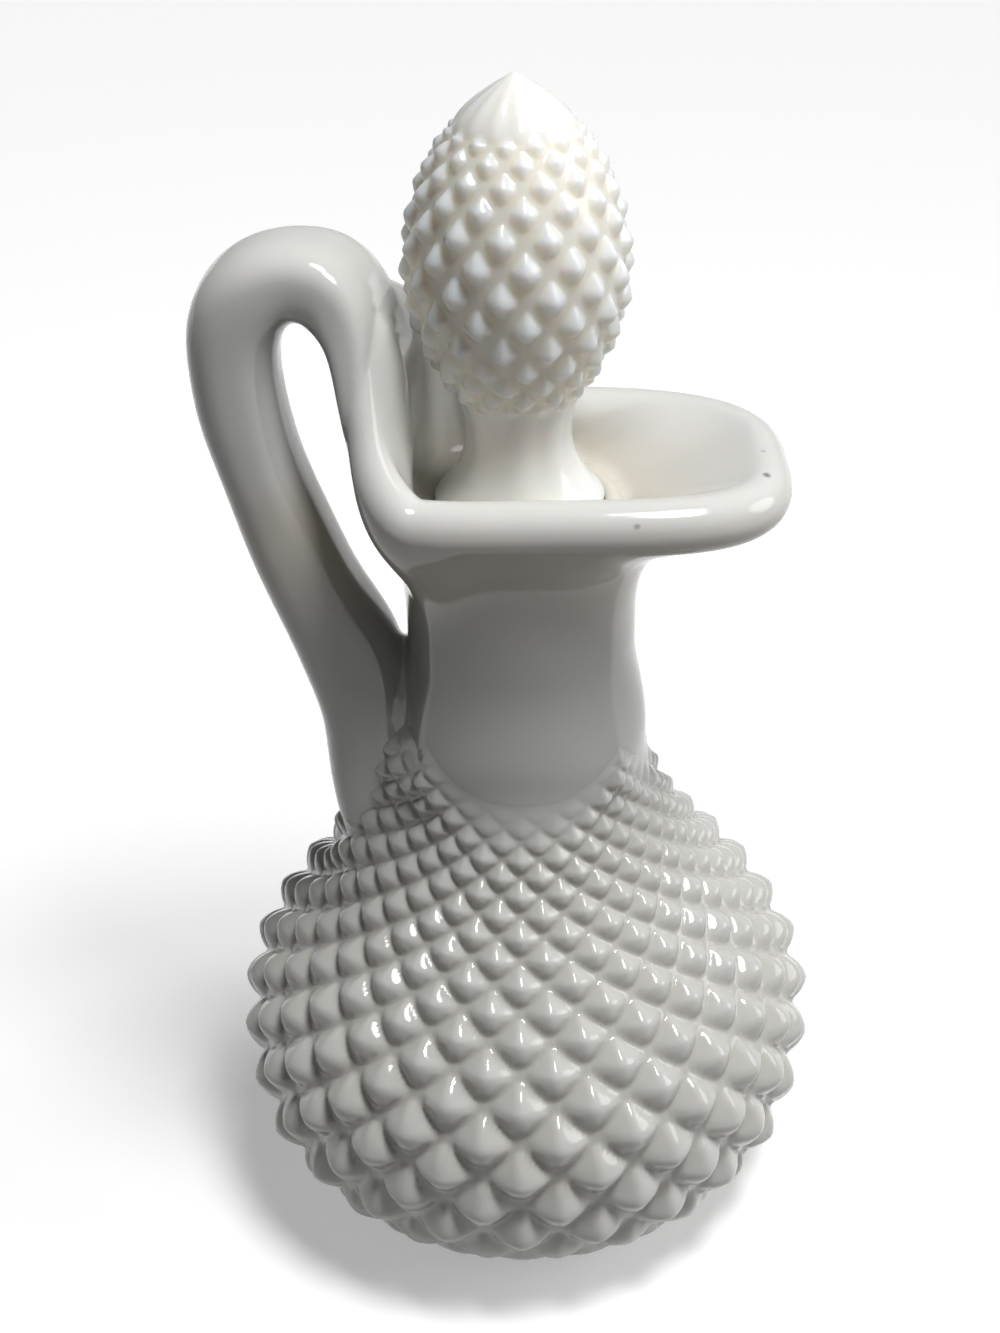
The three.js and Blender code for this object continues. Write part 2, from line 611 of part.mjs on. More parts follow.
function cruetParts() {
  const room = inside();
  const loop = handleSweep();
  const upper = neckAndLip().add(loop).subtract(room);
  const lower = bowlOutside().add(loop).subtract(room);
  const handle = handleSpace();
  const rest = upper.subtract(handle);
  return {
    bowl: lower.intersect(slab(-1, NECK_START)),
    neck: rest.intersect(slab(NECK_START, LIP_START)),
    pouring_lip: rest.intersect(slab(LIP_START, 2 * TIP_HEIGHT)),
    handle: upper.intersect(handle),
  };
}

// Finial: an egg of hobs under a plain pointed cap.
function finialPoint(t) {
  const low = [FINIAL_START_RADIUS, FINIAL_START];
  const high = [CAP_START_RADIUS, CAP_START];
  const middle = [FINIAL_RADIUS, FINIAL_MIDDLE];
  if (t < 0.5) {
    const u = t * 2;
    return [
      cubic(low[0], low[0] + START_SWEEP_OUT, middle[0], middle[0], u),
      cubic(low[1], low[1] + START_SWEEP_UP, middle[1] - LOW_BELLY_SWEEP, middle[1], u),
    ];
  }
  const u = t * 2 - 1;
  return [
    cubic(middle[0], middle[0], high[0] + CAP_SWEEP_OUT, high[0], u),
    cubic(middle[1], middle[1] + HIGH_BELLY_SWEEP, high[1] - CAP_SWEEP_DOWN, high[1], u),
  ];
}

function finial() {
  const inField = ([, height]) => height > FINIAL_START + FINIAL_BAND && height < CAP_START - FINIAL_BAND;
  const body = hobSolid({
    rows: valleyRows(finialPoint, 1, FINIAL_ROW_STEP, FINIAL_ROW_OFFSET).filter(inField),
    columns: FINIAL_COLUMNS,
    turn: FINIAL_TURN,
    rise: FINIAL_HOB_RISE,
    foot: [FINIAL_START_RADIUS, FINIAL_START],
    top: [CAP_START_RADIUS, CAP_START],
    odd: 0,
  });
  const cap = [[0, CAP_START - CAP_OVERLAP], [CAP_START_RADIUS, CAP_START - CAP_OVERLAP]];
  for (let i = 0; i <= CAP_RINGS; i += 1) {
    const share = i / CAP_RINGS;
    const radius = CAP_START_RADIUS * (1 - share ** CAP_FULLNESS);
    cap.push([radius, CAP_START + (TIP_HEIGHT - CAP_START) * share]);
  }
  return body.add(lathe(cap));
}

function shank() {
  const profile = [[0, PLUG_TOP], [PLUG_TOP_RADIUS, PLUG_TOP], [SKIRT_RADIUS, SKIRT_HEIGHT]];
  for (let i = 1; i <= SHANK_RINGS; i += 1) {
    const t = i / SHANK_RINGS;
    profile.push([
      cubic(SKIRT_RADIUS, SKIRT_RADIUS - SKIRT_SWEEP, SHANK_RADIUS, SHANK_RADIUS, t),
      cubic(SKIRT_HEIGHT, SKIRT_HEIGHT + SKIRT_SWEEP, SHANK_HEIGHT - SHANK_SWEEP, SHANK_HEIGHT, t),
    ]);
  }
  profile.push([FINIAL_START_RADIUS, FINIAL_START], [0, FINIAL_START]);
  return lathe(profile);
}

function plug() {
  return lathe([
    [0, PLUG_END],
    [PLUG_END_RADIUS - PLUG_CHAMFER, PLUG_END],
    [PLUG_END_RADIUS, PLUG_END + PLUG_CHAMFER],
    [PLUG_TOP_RADIUS, PLUG_TOP],
    [0, PLUG_TOP],
  ]);
}

function stopperParts() {
  return { stopper_finial: finial(), stopper_shank: shank(), ground_plug: plug() };
}

function assemble(name, parts) {
  const group = new THREE.Group();
  group.name = name;
  for (const [part, shape] of Object.entries(parts)) group.add(namedMesh(part, shape));
  return group;
}

const cruet = new THREE.Group();
cruet.name = 'cruet_and_stopper';
cruet.add(assemble('cruet', cruetParts()));
cruet.add(assemble('stopper', stopperParts()));

export default cruet;
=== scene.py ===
"""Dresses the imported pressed-glass cruet: a hobnail bowl, a fused neck, lip and loop handle,
a hobnail stopper with its ground plug, and a plain studio around them. Lengths in the shape
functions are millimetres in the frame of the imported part: +Z up, +X the spout, -X the handle."""

import bpy
import numpy as np
from mathutils import Matrix, Vector
from bpy.props import FloatProperty, FloatVectorProperty, IntProperty, PointerProperty


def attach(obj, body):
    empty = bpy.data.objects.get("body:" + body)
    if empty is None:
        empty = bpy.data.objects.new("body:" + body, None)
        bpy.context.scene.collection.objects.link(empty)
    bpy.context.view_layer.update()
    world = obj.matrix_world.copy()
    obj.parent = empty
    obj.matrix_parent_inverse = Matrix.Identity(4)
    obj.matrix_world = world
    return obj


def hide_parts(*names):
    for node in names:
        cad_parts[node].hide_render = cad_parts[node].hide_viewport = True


bl_info = {
    "name": "Hobnail cruet",
    "version": (1, 0, 0),
    "blender": (4, 5, 0),
    "location": "View3D > Sidebar > Cruet",
    "description": "Builds the glass surfaces, the finishes and the studio of a stoppered cruet",
    "category": "Object",
}

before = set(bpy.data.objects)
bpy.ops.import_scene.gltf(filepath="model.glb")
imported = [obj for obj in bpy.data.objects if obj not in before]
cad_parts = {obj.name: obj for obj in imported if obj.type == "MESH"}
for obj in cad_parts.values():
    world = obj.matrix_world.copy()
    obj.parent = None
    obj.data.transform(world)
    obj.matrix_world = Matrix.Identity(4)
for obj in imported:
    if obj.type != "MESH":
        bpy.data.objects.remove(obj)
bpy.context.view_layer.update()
MM = 0.001
UP = np.array([0.0, 0.0, 1.0])
LEVEL = np.array([1.0, 1.0, 0.0])

# Heights and radii of the pressed glass, in millimetres
FOOT_HOLLOW = 0.9
WAIST_HEIGHT = 26.0
WAIST_RADIUS = 38.0
UNDER_AXIS = 30.6
UNDER_FULLNESS = 2.5
SHOULDER_RISE = 16.0
SHOULDER_FALL = 21.0
NECK_START = 65.0
NECK_BULGE = 73.0
NECK_WAIST = 86.0
BULGE_RADIUS = 16.1
NECK_RADIUS = 14.4
PANEL_FOOT = 70.0
PANEL_FOOT_RISE = 6.0
FLARE_START = 90.0
TROUGH_FLOOR = 103.5
RIM_HEIGHT = 108.8
SEAT_RADIUS = 10.6
BEAD_WIDTH = 2.2
BEAD_RISE = 1.8
INNER_RADIUS = 34.0
LOW_ROW_STEP = 0.15
HIGH_ROW_STEP = 0.126
ROW_OFFSET = 0.4
FINIAL_START = 118.0
FINIAL_WAIST = 134.0
FINIAL_RADIUS = 12.2
FINIAL_ROOT_RADIUS = 6.9
CAP_START = 149.5
CAP_RISE = 6.0
SHANK_PANELS = 0.022
FLUTE_DEPTH = 0.09

# Hobs of the bowl and its swelling under the handle: heights where they start and spans in which
# they grow, fade of the hobs below the panels, in millimetres, and spreads round it in degrees.
# At the panels' feet the skins of bowl and neck sink under each other, by slope and greatest depth
HOBS_START = 3.0
HOBS_SPAN = 16.0
HOBS_FADE = 9.0
HOBS_FADE_LOSS = 6.0
ROOT_START = 47.0
ROOT_SPAN = 13.0
ROOT_SPREAD = 30.0
HANDLE_FOOT_SPREAD = 50.0
SINK_SLOPE = 0.07
SINK_DEPTH = 0.6

# Ground plug, in millimetres: where its cone starts, its length, its least radius and its taper
PLUG_START = 80.6
PLUG_LENGTH = 22.9
PLUG_RADIUS = 8.4
PLUG_TAPER = 1.3

# A hob: how blunt its corners are, how much sharper upwards and sideways, the round of its groove,
# and the share of a cell of the lattice that it fills
HOB_BLUNTNESS = 2.4
HOB_SHARP_UPWARD = 9.0
HOB_SHARP_SIDEWAYS = 1.2
HOB_GROOVE = 0.05
BOWL_FILLED = 0.98
FINIAL_FILLED = 0.8

# Plan of the rolled rim and its climb into the handle, the ends in degrees from the handle's side
SPOUT_REACH = 28.9
RIM_BACK = 17.2
RIM_HALF_WIDTH = 16.0
SPOUT_POWER = 3.3
SPOUT_POWER_SKEW = 0.55
BACK_POWER = 4.0
SPOUT_LEAN = 0.9
WALL_RISE = 20.0
WALL_TOP = 10.0
WALL_FRONT_END = 56.0
WALL_BACK_END = 110.0
WALL_THINNING = 0.36
WALL_SHIFT = 0.2
WALL_SLANT = 0.12
WALL_SHIFT_END = 75.0
WALL_SHIFT_SPAN = 35.0
WALL_SIDE_END = 80.0
WALL_SIDE_SPAN = 45.0

# Turns of the roll, in degrees from its outer side, where the flare and the trough meet it, and
# how the two surfaces run there: everywhere, at the front and back, in the wall, on the shelf
UNDER_ROLL = -70.0
UNDER_ROLL_SIDE = 35.0
UNDER_ROLL_WALL = 65.0
OVER_ROLL = 190.0
OVER_ROLL_WALL = 50.0
OVER_ROLL_SHELF = 75.0
LIP_SWEEP = 0.6
FLARE_RISE = 13.0
FLARE_RISE_LOSS = 4.0
FLARE_SINK = 0.8
FLARE_SINK_SIDE = 5.0
FLARE_DROP = 0.5
TROUGH_FALL = 0.7
WALL_SLOPE = 0.35
WALL_SWEEP_LOSS = 0.2
WALL_ARRIVAL = 0.1
SHELF_SLOPE = 0.5
SHELF_SWEEP_LOSS = 0.4
SHELF_ARRIVAL = 0.35

# Power of the handle's section, and what each degree of twist adds to it
HANDLE_SQUARENESS = 2.7
TWIST_SQUARENESS = 0.13

# Middle line of the handle: out along -X, up, half thickness, half width, twist in degrees
HANDLE_LINE = (
    (13.4, 98.0, 1.6, 4.0, 10.0),
    (14.4, 104.5, 1.6, 7.0, 11.0),
    (15.4, 110.5, 1.7, 10.0, 11.0),
    (16.2, 117.0, 1.8, 11.6, 11.0),
    (17.0, 123.5, 2.3, 10.8, 11.0),
    (18.5, 128.9, 3.4, 9.2, 7.0),
    (21.5, 132.4, 4.6, 7.8, 2.0),
    (25.3, 133.3, 4.7, 7.0, 0.0),
    (29.1, 132.0, 5.1, 7.0, 0.0),
    (31.8, 128.8, 5.4, 7.0, 0.0),
    (32.8, 123.4, 5.2, 6.9, 0.0),
    (32.4, 117.4, 5.1, 6.9, 0.0),
    (30.9, 110.2, 4.9, 6.9, 0.0),
    (27.8, 99.6, 5.3, 6.9, 0.0),
    (24.8, 91.4, 5.6, 6.9, 0.0),
    (21.6, 83.5, 6.3, 6.9, 0.0),
    (20.0, 75.7, 6.0, 7.1, 0.0),
    (19.6, 67.8, 5.9, 7.2, 0.0),
    (19.0, 59.9, 5.6, 7.2, 0.0),
    (18.0, 53.0, 5.2, 7.2, 0.0),
)

# Level that plain glass takes in the painted valley shade, between a valley at 0 and a hob's tip at 1
PLAIN_BOWL = 0.7
PLAIN_LIP = 0.7
PLAIN_STOPPER = 0.75

# Painted shade on the neck, painted glow through the flare, painted light on the rim; a speck; scored
# ground glass
NECK_PAINTED_SHADE = (0.5, 0.5, 0.48, 1.0)
FLARE_PAINTED_GLOW = (0.72, 0.665, 0.56, 1.0)
RIM_PAINTED_LIGHT = (0.79, 0.79, 0.775, 1.0)
SPECK_TONE = (0.1, 0.095, 0.085, 1.0)
SCORED_DARK = (0.7, 0.7, 0.69, 1.0)
SCORED_PALE = (0.84, 0.84, 0.83, 1.0)

# Dark specks in the lip: centre and radius in metres, and how dark
SPECKS = (
    ((0.0284, -0.0095, 0.112), 0.0007, 0.75),
    ((0.0288, -0.0032, 0.1121), 0.0004, 0.4),
    ((0.013, -0.0188, 0.1105), 0.0005, 0.5),
)

# Fused skin: hollow from which a crease counts and the range in which it comes to count fully,
# both as shares of the skin's step, steps of the weights, passes that smooth and that fillet
CREASE_HOLLOW = 0.09
CREASE_RANGE = 0.08
WEIGHT_STEPS = 50
SKIN_PASSES = 2
FILLET_PASSES = 90

# Camera of the photo: focal length, height of the picture and how far the axis stands off its
# middle in pixels, slant and roll in radians, distance and height of the aim in metres
FOCAL_PIXELS = 1801.3
PICTURE_PIXELS = 1333.0
SHIFT_PIXELS = 21.72
SENSOR_MILLIMETRES = 36.0
CAMERA_SLANT = 0.562
CAMERA_ROLL = -0.0125
CAMERA_DISTANCE = 0.23166
AIM_HEIGHT = 0.08052

# Studio: half side of the floor, where its near part ends and its far part starts, in metres,
# paleness of the far floor as the object sees it, brightness of the backdrop
FLOOR_REACH = 1.6
NEAR_FLOOR = 0.05
FAR_FLOOR = 0.26
FAR_BOUNCE = 0.1
BACKDROP = 0.9

# Lamps: place and size in metres, spread in degrees, and the height that the near one shines at
TOP_PLACE = (0.2, -0.08, 0.95)
TOP_SPREAD = 15.0
KEY_PLACE = (0.9, 0.0, 0.4)
KEY_SPREAD = 34.0
NEAR_PLACE = (0.1, -0.11, 0.42)
NEAR_SIZE = 0.1
NEAR_AIM = 0.08


def smooth_step(value):
    """3 t^2 - 2 t^3, with t held between 0 and 1."""
    t = np.clip(value, 0.0, 1.0)
    return t * t * (3.0 - 2.0 * t)


def rising(value, start, span):
    """0 up to the start and 1 from a span further on, smooth between them."""
    return smooth_step((value - start) / span)


def falling(value, end, span):
    """1 up to a span before the end and 0 from the end on, smooth between them."""
    return smooth_step((end - value) / span)


def cubic(a, b, c, d, t):
    """Bezier curve of third order with the four given control values."""
    u = 1.0 - t
    return u**3 * a + 3 * u * u * t * b + 3 * u * t * t * c + t**3 * d


def around(columns):
    """Angles of a ring's points, counter-clockwise from +X, with one point on each main axis."""
    return np.arange(columns) * (2.0 * np.pi / columns)


def spline(points, count):
    """Natural cubic spline: between two knots the curve is the chord plus a cubic whose second
    derivatives solve one tridiagonal system; the parameter is the distance along the chords."""
    points = np.asarray(points, float)
    steps = np.linalg.norm(np.diff(points[:, :2], axis=0), axis=1)
    knots = np.concatenate([[0.0], np.cumsum(steps)])
    inner = np.arange(1, len(points) - 1)
    system = np.eye(len(points))
    system[inner, inner - 1] = steps[:-1] / 6
    system[inner, inner] = (steps[:-1] + steps[1:]) / 3
    system[inner, inner + 1] = steps[1:] / 6
    chords = np.diff(points, axis=0) / steps[:, None]
    right = np.zeros_like(points)
    right[inner] = chords[1:] - chords[:-1]
    bend = np.linalg.solve(system, right)
    t = np.linspace(0.0, knots[-1], count)
    k = np.clip(np.searchsorted(knots, t, side="right") - 1, 0, len(steps) - 1)
    h = steps[k][:, None]
    a = (knots[k + 1] - t)[:, None] / h
    b = 1.0 - a
    return a * points[k] + b * points[k + 1] + ((a**3 - a) * bend[k] + (b**3 - b) * bend[k + 1]) * h * h / 6


def make_mesh(name, points, quads, triangles):
    """Mesh from corner points in millimetres and arrays of quads and triangles."""
    mesh = bpy.data.meshes.new(name)
    mesh.vertices.add(len(points))
    mesh.vertices.foreach_set("co", (points * MM).astype(np.float32).ravel())
    corners = np.concatenate([quads.ravel(), triangles.ravel()]).astype(np.int32)
    sizes = np.concatenate([np.full(len(quads), 4), np.full(len(triangles), 3)]).astype(np.int32)
    mesh.loops.add(len(corners))
    mesh.loops.foreach_set("vertex_index", corners)
    mesh.polygons.add(len(sizes))
    mesh.polygons.foreach_set("loop_start", (np.cumsum(sizes) - sizes).astype(np.int32))
    mesh.polygons.foreach_set("loop_total", sizes)
    mesh.polygons.foreach_set("use_smooth", np.ones(len(sizes), bool))
    mesh.update()
    mesh.validate()
    return mesh


def ring_quads(rows, columns, wrap):
    """Quads between the rings of a stack; with wrap the last ring joins the first."""
    row = np.arange(rows if wrap else rows - 1)[:, None]
    column = np.arange(columns)[None, :]
    above, beside = (row + 1) % rows, (column + 1) % columns
    low, high = row * columns, above * columns
    corners = [low + column, low + beside, high + beside, high + column]
    return np.stack(corners, -1).reshape(-1, 4)


def ring_stack(name, rings, wrap=False):
    """Closed surface over a stack of rings of shape (rows, columns, 3). Without wrap, both ends
    close with a fan round the middle of the end ring."""
    rows, columns = rings.shape[:2]
    points = rings.reshape(-1, 3)
    quads = ring_quads(rows, columns, wrap)
    triangles = np.zeros((0, 3), int)
    if not wrap:
        middles = np.stack([rings[0].mean(0), rings[-1].mean(0)])
        points = np.concatenate([points, middles])
        column = np.arange(columns)
        beside = (column + 1) % columns
        last = (rows - 1) * columns
        low = np.stack([beside, column, np.full(columns, rows * columns)], -1)
        high = np.stack([last + column, last + beside, np.full(columns, rows * columns + 1)], -1)
        triangles = np.concatenate([low, high])
    return make_mesh(name, points, quads, triangles)


def turned(profile, columns):
    """Rings of a turned shape: each [radius, height] pair carried once round the axis."""
    profile = np.asarray(profile, float)
    angle = around(columns)
    radius, height = profile[:, :1], profile[:, 1:2]
    return np.stack([radius * np.cos(angle), radius * np.sin(angle), height + 0 * angle], -1)


def hob_height(across, along, fullness, filled):
    """Height of the hobs, 1 at a tip and 0 in a valley. across counts columns and along counts
    half rows; tips lie where both are whole and even, or both odd halves. With a and b the two
    diagonal coordinates, each from -1 to 1 over a hob, far is their p-norm. p is high towards the
    upper corner, where two faces meet in a sharp ridge, and low below, where the glass is round.
    filled is the share of a cell that its hob takes up, the rest is flat valley. With far in that
    unit the height is 1 - (1 - fullness) far^1.2 - fullness far^2.9: a pyramid that swells to a dome."""
    a = across + along / 2
    b = across - along / 2
    a = 2.0 * (a - np.round(a))
    b = 2.0 * (b - np.round(b))
    size = np.abs(a) + np.abs(b) + 1e-6
    upward = np.clip((a - b) / size, 0.0, 1.0)
    sideways = np.abs(a + b) / size
    power = HOB_BLUNTNESS + HOB_SHARP_UPWARD * upward**3 + HOB_SHARP_SIDEWAYS * sideways**3
    far = np.minimum((np.abs(a) ** power + np.abs(b) ** power) ** (1.0 / power) / filled, 1.5)
    face = 1.0 - (1.0 - fullness) * far**1.2 - fullness * far**2.9
    soft = 0.5 * (face + np.sqrt(face * face + HOB_GROOVE * HOB_GROOVE)) - 0.4 * HOB_GROOVE
    return np.clip(soft, 0.0, 1.0)


def bowl_outline():
    """Finely stepped outline of the bowl up into the neck, as radius, height and lattice
    coordinate. Below the widest place it is a superellipse, above it one Bezier curve, then the
    neck. The lattice coordinate grows by the way along the outline over a share of the radius."""
    n = UNDER_FULLNESS
    depth = (WAIST_HEIGHT - FOOT_HOLLOW) / UNDER_AXIS
    low = np.linspace(np.arctan2(depth, (1.0 - depth**n) ** (1.0 / n)), 0.0, 800)
    scale = (np.cos(low) ** n + np.sin(low) ** n) ** (-1.0 / n)
    t = np.linspace(0.0, 1.0, 1600)[1:]
    shoulder_radius = cubic(WAIST_RADIUS, WAIST_RADIUS, BULGE_RADIUS, BULGE_RADIUS, t)
    shoulder = cubic(WAIST_HEIGHT, WAIST_HEIGHT + SHOULDER_RISE, NECK_BULGE - SHOULDER_FALL, NECK_BULGE, t)
    high = np.linspace(NECK_BULGE, NECK_BULGE + 5.0, 200)[1:]
    radius = np.concatenate([WAIST_RADIUS * scale * np.cos(low), shoulder_radius, neck_radius(high)])
    height = np.concatenate([WAIST_HEIGHT - UNDER_AXIS * scale * np.sin(low), shoulder, high])
    way = np.hypot(np.diff(radius), np.diff(height))
    middle = (radius[1:] + radius[:-1]) / 2
    share = np.where(np.arange(len(way)) < len(low) - 1, LOW_ROW_STEP, HIGH_ROW_STEP)
    lattice = np.concatenate([[0.0], np.cumsum(way / (share * middle))])
    lattice -= lattice[len(low) - 1] + ROW_OFFSET
    return radius, height, lattice


def neck_radius(height):
    """Radius of the neck in the middle of a panel, from its widest place up."""
    share = rising(height, NECK_BULGE, NECK_WAIST - NECK_BULGE)
    return BULGE_RADIUS + (NECK_RADIUS - BULGE_RADIUS) * share


def panel_edge(angle):
    """1 on the four upright edges of the neck, 0 in the middle of its panels, with a crease."""
    return 1.0 - np.abs(np.cos(2.0 * angle))


def edge_share(angle, height, shape):
    """How far the neck's edges stand out, as a share of its radius; they grow out of the bowl."""
    return shape.edge * rising(height, NECK_START, NECK_BULGE - NECK_START) * panel_edge(angle)


def from_handle(angle):
    """Degrees from the side of the handle, 0 to 180."""
    return np.abs(np.degrees(angle) % 360.0 - 180.0)


def panel_foot(angle):
    """Height where a panel's rounded foot meets the hobs, higher round the handle's foot."""
    handle_foot = np.exp(-((from_handle(angle) / HANDLE_FOOT_SPREAD) ** 4))
    return PANEL_FOOT + PANEL_FOOT_RISE * np.maximum(panel_edge(angle) ** 1.5, handle_foot)


def bowl_foot(columns):
    """Rings of the hollow under the bowl and of the foot that it stands on."""
    profile = [[4.0, FOOT_HOLLOW], [17.0, FOOT_HOLLOW], [20.8, 0.75], [21.8, 0.2]]
    return turned(profile + [[22.4, 0.0], [24.4, 0.0], [25.4, 0.3]], columns)


def bowl_inside(top, columns):
    """Rings of the inner wall, from inside the neck down to the floor of the bowl."""
    profile = [[9.1, top - 0.5], [9.0, 74.0], [9.4, 69.0], [11.0, 63.0], [14.5, 57.0], [20.0, 50.5]]
    t = np.linspace(0.0, 1.0, 9)[1:] * np.pi / 2
    profile += list(zip(25.0 + (INNER_RADIUS - 25.0) * np.sin(t), 45.0 - 19.0 * (1 - np.cos(t))))
    t = np.linspace(0.0, 1.0, 8)[1:] * 1.35
    profile += list(zip(INNER_RADIUS * np.cos(t), WAIST_HEIGHT - 20.0 * np.sin(t) / np.sin(1.35)))
    return turned(profile, columns)


def bowl_rings(shape):
    """Outer skin of the bowl from the foot to inside the neck, then down its inner wall."""
    columns = 16 * shape.columns
    angle = around(columns)
    outline_radius, outline_height, outline_lattice = bowl_outline()
    first = outline_lattice[0]
    whole = np.ceil(first)
    count = int((outline_lattice[-1] - whole) * 11)
    lattice = np.concatenate([[first, (first + whole) / 2], whole + np.arange(count + 1) / 11])
    radius = np.interp(lattice, outline_lattice, outline_radius)
    height = np.interp(lattice, outline_lattice, outline_height)
    slope_r = np.gradient(radius, lattice)
    slope_z = np.gradient(height, lattice)
    length = np.hypot(slope_r, slope_z)
    out_r, out_z = (slope_z / length)[:, None], (-slope_r / length)[:, None]
    turn = np.degrees(angle) + 90.0 - shape.turn
    across = turn[None, :] * shape.columns / 360.0
    hob = hob_height(across, lattice[:, None], shape.fullness, BOWL_FILLED)
    foot = panel_foot(angle)[None, :]
    z = height[:, None]
    fade = HOBS_FADE - HOBS_FADE_LOSS * (foot - PANEL_FOOT) / PANEL_FOOT_RISE
    mask = falling(z, foot, fade) * rising(z, HOBS_START, HOBS_SPAN)
    root = shape.root * np.exp(-((from_handle(angle) / ROOT_SPREAD) ** 2))[None, :]
    root = root * rising(z, ROOT_START, ROOT_SPAN) * falling(z, foot + 2.0, 8.0)
    sunk = SINK_SLOPE * np.maximum(z - foot, 0.0)
    lift = hob * mask * shape.rise * radius[:, None] - sunk + root
    r = radius[:, None] * (1.0 + edge_share(angle, z, shape)) + lift * out_r
    outer = np.stack([r * np.cos(angle), r * np.sin(angle), z + lift * out_z], -1)
    base, inner = bowl_foot(columns), bowl_inside(height[-1], columns)
    hobs = np.zeros((len(base) + len(outer) + len(inner), columns))
    # height out of the valleys, which the material turns into painted shade in them
    hobs[len(base) : len(base) + len(outer)] = hob * mask + PLAIN_BOWL * (1.0 - mask)
    return np.concatenate([base, outer, inner]), hobs


def neck_ring(angle, height, shape):
    """Points of the panelled neck at one angle and height; below the panels' feet it sinks."""
    radius, outline, _ = bowl_outline()
    base = np.where(height > NECK_BULGE, neck_radius(height), np.interp(height, outline, radius))
    sunk = np.minimum(SINK_SLOPE * np.maximum(panel_foot(angle) - height, 0.0), SINK_DEPTH)
    r = base * (1.0 + edge_share(angle, height, shape)) - sunk
    return np.stack([r * np.cos(angle), r * np.sin(angle), height + 0 * angle], -1)


def rim_middle(angle):
    """Middle line of the rolled rim. In plan it is |x / reach|^n + |y / half width|^n = 1, rounder
    at the spout, whose end leans to the front. It climbs as a wall that runs into the handle,
    steeply on the front side and more gently on the back side."""
    c, s = np.cos(angle), np.sin(angle)
    n = np.where(c > 0, SPOUT_POWER - SPOUT_POWER_SKEW * s, BACK_POWER)
    reach = np.where(c > 0, SPOUT_REACH, RIM_BACK)
    r = (np.abs(c / reach) ** n + np.abs(s / RIM_HALF_WIDTH) ** n) ** (-1.0 / n)
    lean = SPOUT_LEAN * np.maximum(r * c / SPOUT_REACH, 0.0) ** 2
    end = np.where(s < 0, WALL_FRONT_END, WALL_BACK_END)
    height = RIM_HEIGHT + WALL_RISE * falling(from_handle(angle), end, end - WALL_TOP)
    near_wall = falling(from_handle(angle), WALL_SHIFT_END, WALL_SHIFT_SPAN)
    shift = near_wall * (WALL_SHIFT + WALL_SLANT * r * s)
    return np.stack([r * c + shift, r * s - lean, height], -1)


def rim_ring(angle, turn, roll):
    """Points on the roll of the rim: its middle line, moved by roll cos(turn) outwards and by
    roll sin(turn) upwards, both square to the line. The roll thins where the rim climbs."""
    small = 0.01
    along = rim_middle(angle + small) - rim_middle(angle - small)
    along /= np.linalg.norm(along, axis=-1, keepdims=True)
    out = np.stack([along[..., 1], -along[..., 0], 0.0 * along[..., 0]], -1)
    out /= np.linalg.norm(out, axis=-1, keepdims=True)
    up = np.cross(out, along)
    turn = np.radians(np.asarray(turn, float))[..., None]
    middle = rim_middle(angle)
    climb = middle[..., 2:] - RIM_HEIGHT
    roll = roll * (1.0 - WALL_THINNING * rising(climb, start=1.0, span=9.0))
    return middle + roll * (np.cos(turn) * out + np.sin(turn) * up)


def unit(vectors):
    """The vectors, each scaled to a length of 1."""
    return vectors / np.linalg.norm(vectors, axis=-1, keepdims=True)


def wall_share(angle):
    """1 where the lip is the handle's wall, 0 away from it."""
    return falling(from_handle(angle), WALL_SIDE_END, WALL_SIDE_SPAN)


def shelf_share(angle):
    """1 where the trough is the spout's shelf, 0 away from it."""
    return rising(np.cos(angle), start=0.35, span=0.5)


def under_roll(angle):
    """Turn of the roll at which the flare meets it."""
    return UNDER_ROLL + UNDER_ROLL_SIDE * np.sin(angle) ** 2 + UNDER_ROLL_WALL * wall_share(angle)


def over_roll(angle):
    """Turn of the roll at which the trough leaves it."""
    return OVER_ROLL - OVER_ROLL_WALL * wall_share(angle) - OVER_ROLL_SHELF * shelf_share(angle)


def flare_rings(angle, shape):
    """Rings from the neck out to the underside of the roll, each line a Bezier curve that leaves
    the neck upright and arrives nearly level, or upright in the handle's wall."""
    start = neck_ring(angle, FLARE_START + 0 * angle, shape)
    end = rim_ring(angle, under_roll(angle), shape.roll)
    side = np.sin(angle)[..., None] ** 2
    wall = wall_share(angle)[..., None]
    leave = start + UP * (FLARE_RISE - FLARE_RISE_LOSS * side)
    level = (start - end) * LIP_SWEEP * LEVEL - UP * (FLARE_SINK + FLARE_SINK_SIDE * side)
    arrive = end + (1.0 - wall) * level + wall * (start - end) * FLARE_DROP * UP
    return cubic(start, leave, arrive, end, np.linspace(0.0, 1.0, 26)[1:, None, None])


def trough_rings(angle, bead, shape):
    """Rings from the top of the roll down to the bead round the seat, each line a Bezier curve:
    level near the seat in front and behind, a sloping wall at the handle, and at the spout a
    shelf that falls close to the seat."""
    start = rim_ring(angle, over_roll(angle), shape.roll)
    ahead = unit(rim_ring(angle, over_roll(angle) + 1.0, shape.roll) - start)
    end = np.stack([bead * np.cos(angle), bead * np.sin(angle), TROUGH_FLOOR + 0 * angle], -1)
    wall = wall_share(angle)[..., None]
    shelf = shelf_share(angle)[..., None]
    way = np.linalg.norm(end - start, axis=-1, keepdims=True)
    fall = (end - start) * TROUGH_FALL * UP * (1.0 - wall - shelf)
    leave = start + fall + (WALL_SLOPE * wall + SHELF_SLOPE * shelf) * way * ahead
    sweep = LIP_SWEEP - WALL_SWEEP_LOSS * wall - SHELF_SWEEP_LOSS * shelf
    arrival = WALL_ARRIVAL * wall + SHELF_ARRIVAL * shelf
    arrive = end + (start - end) * (sweep * LEVEL + arrival * UP)
    return cubic(start, leave, arrive, end, np.linspace(0.0, 1.0, 28)[1:, None, None])


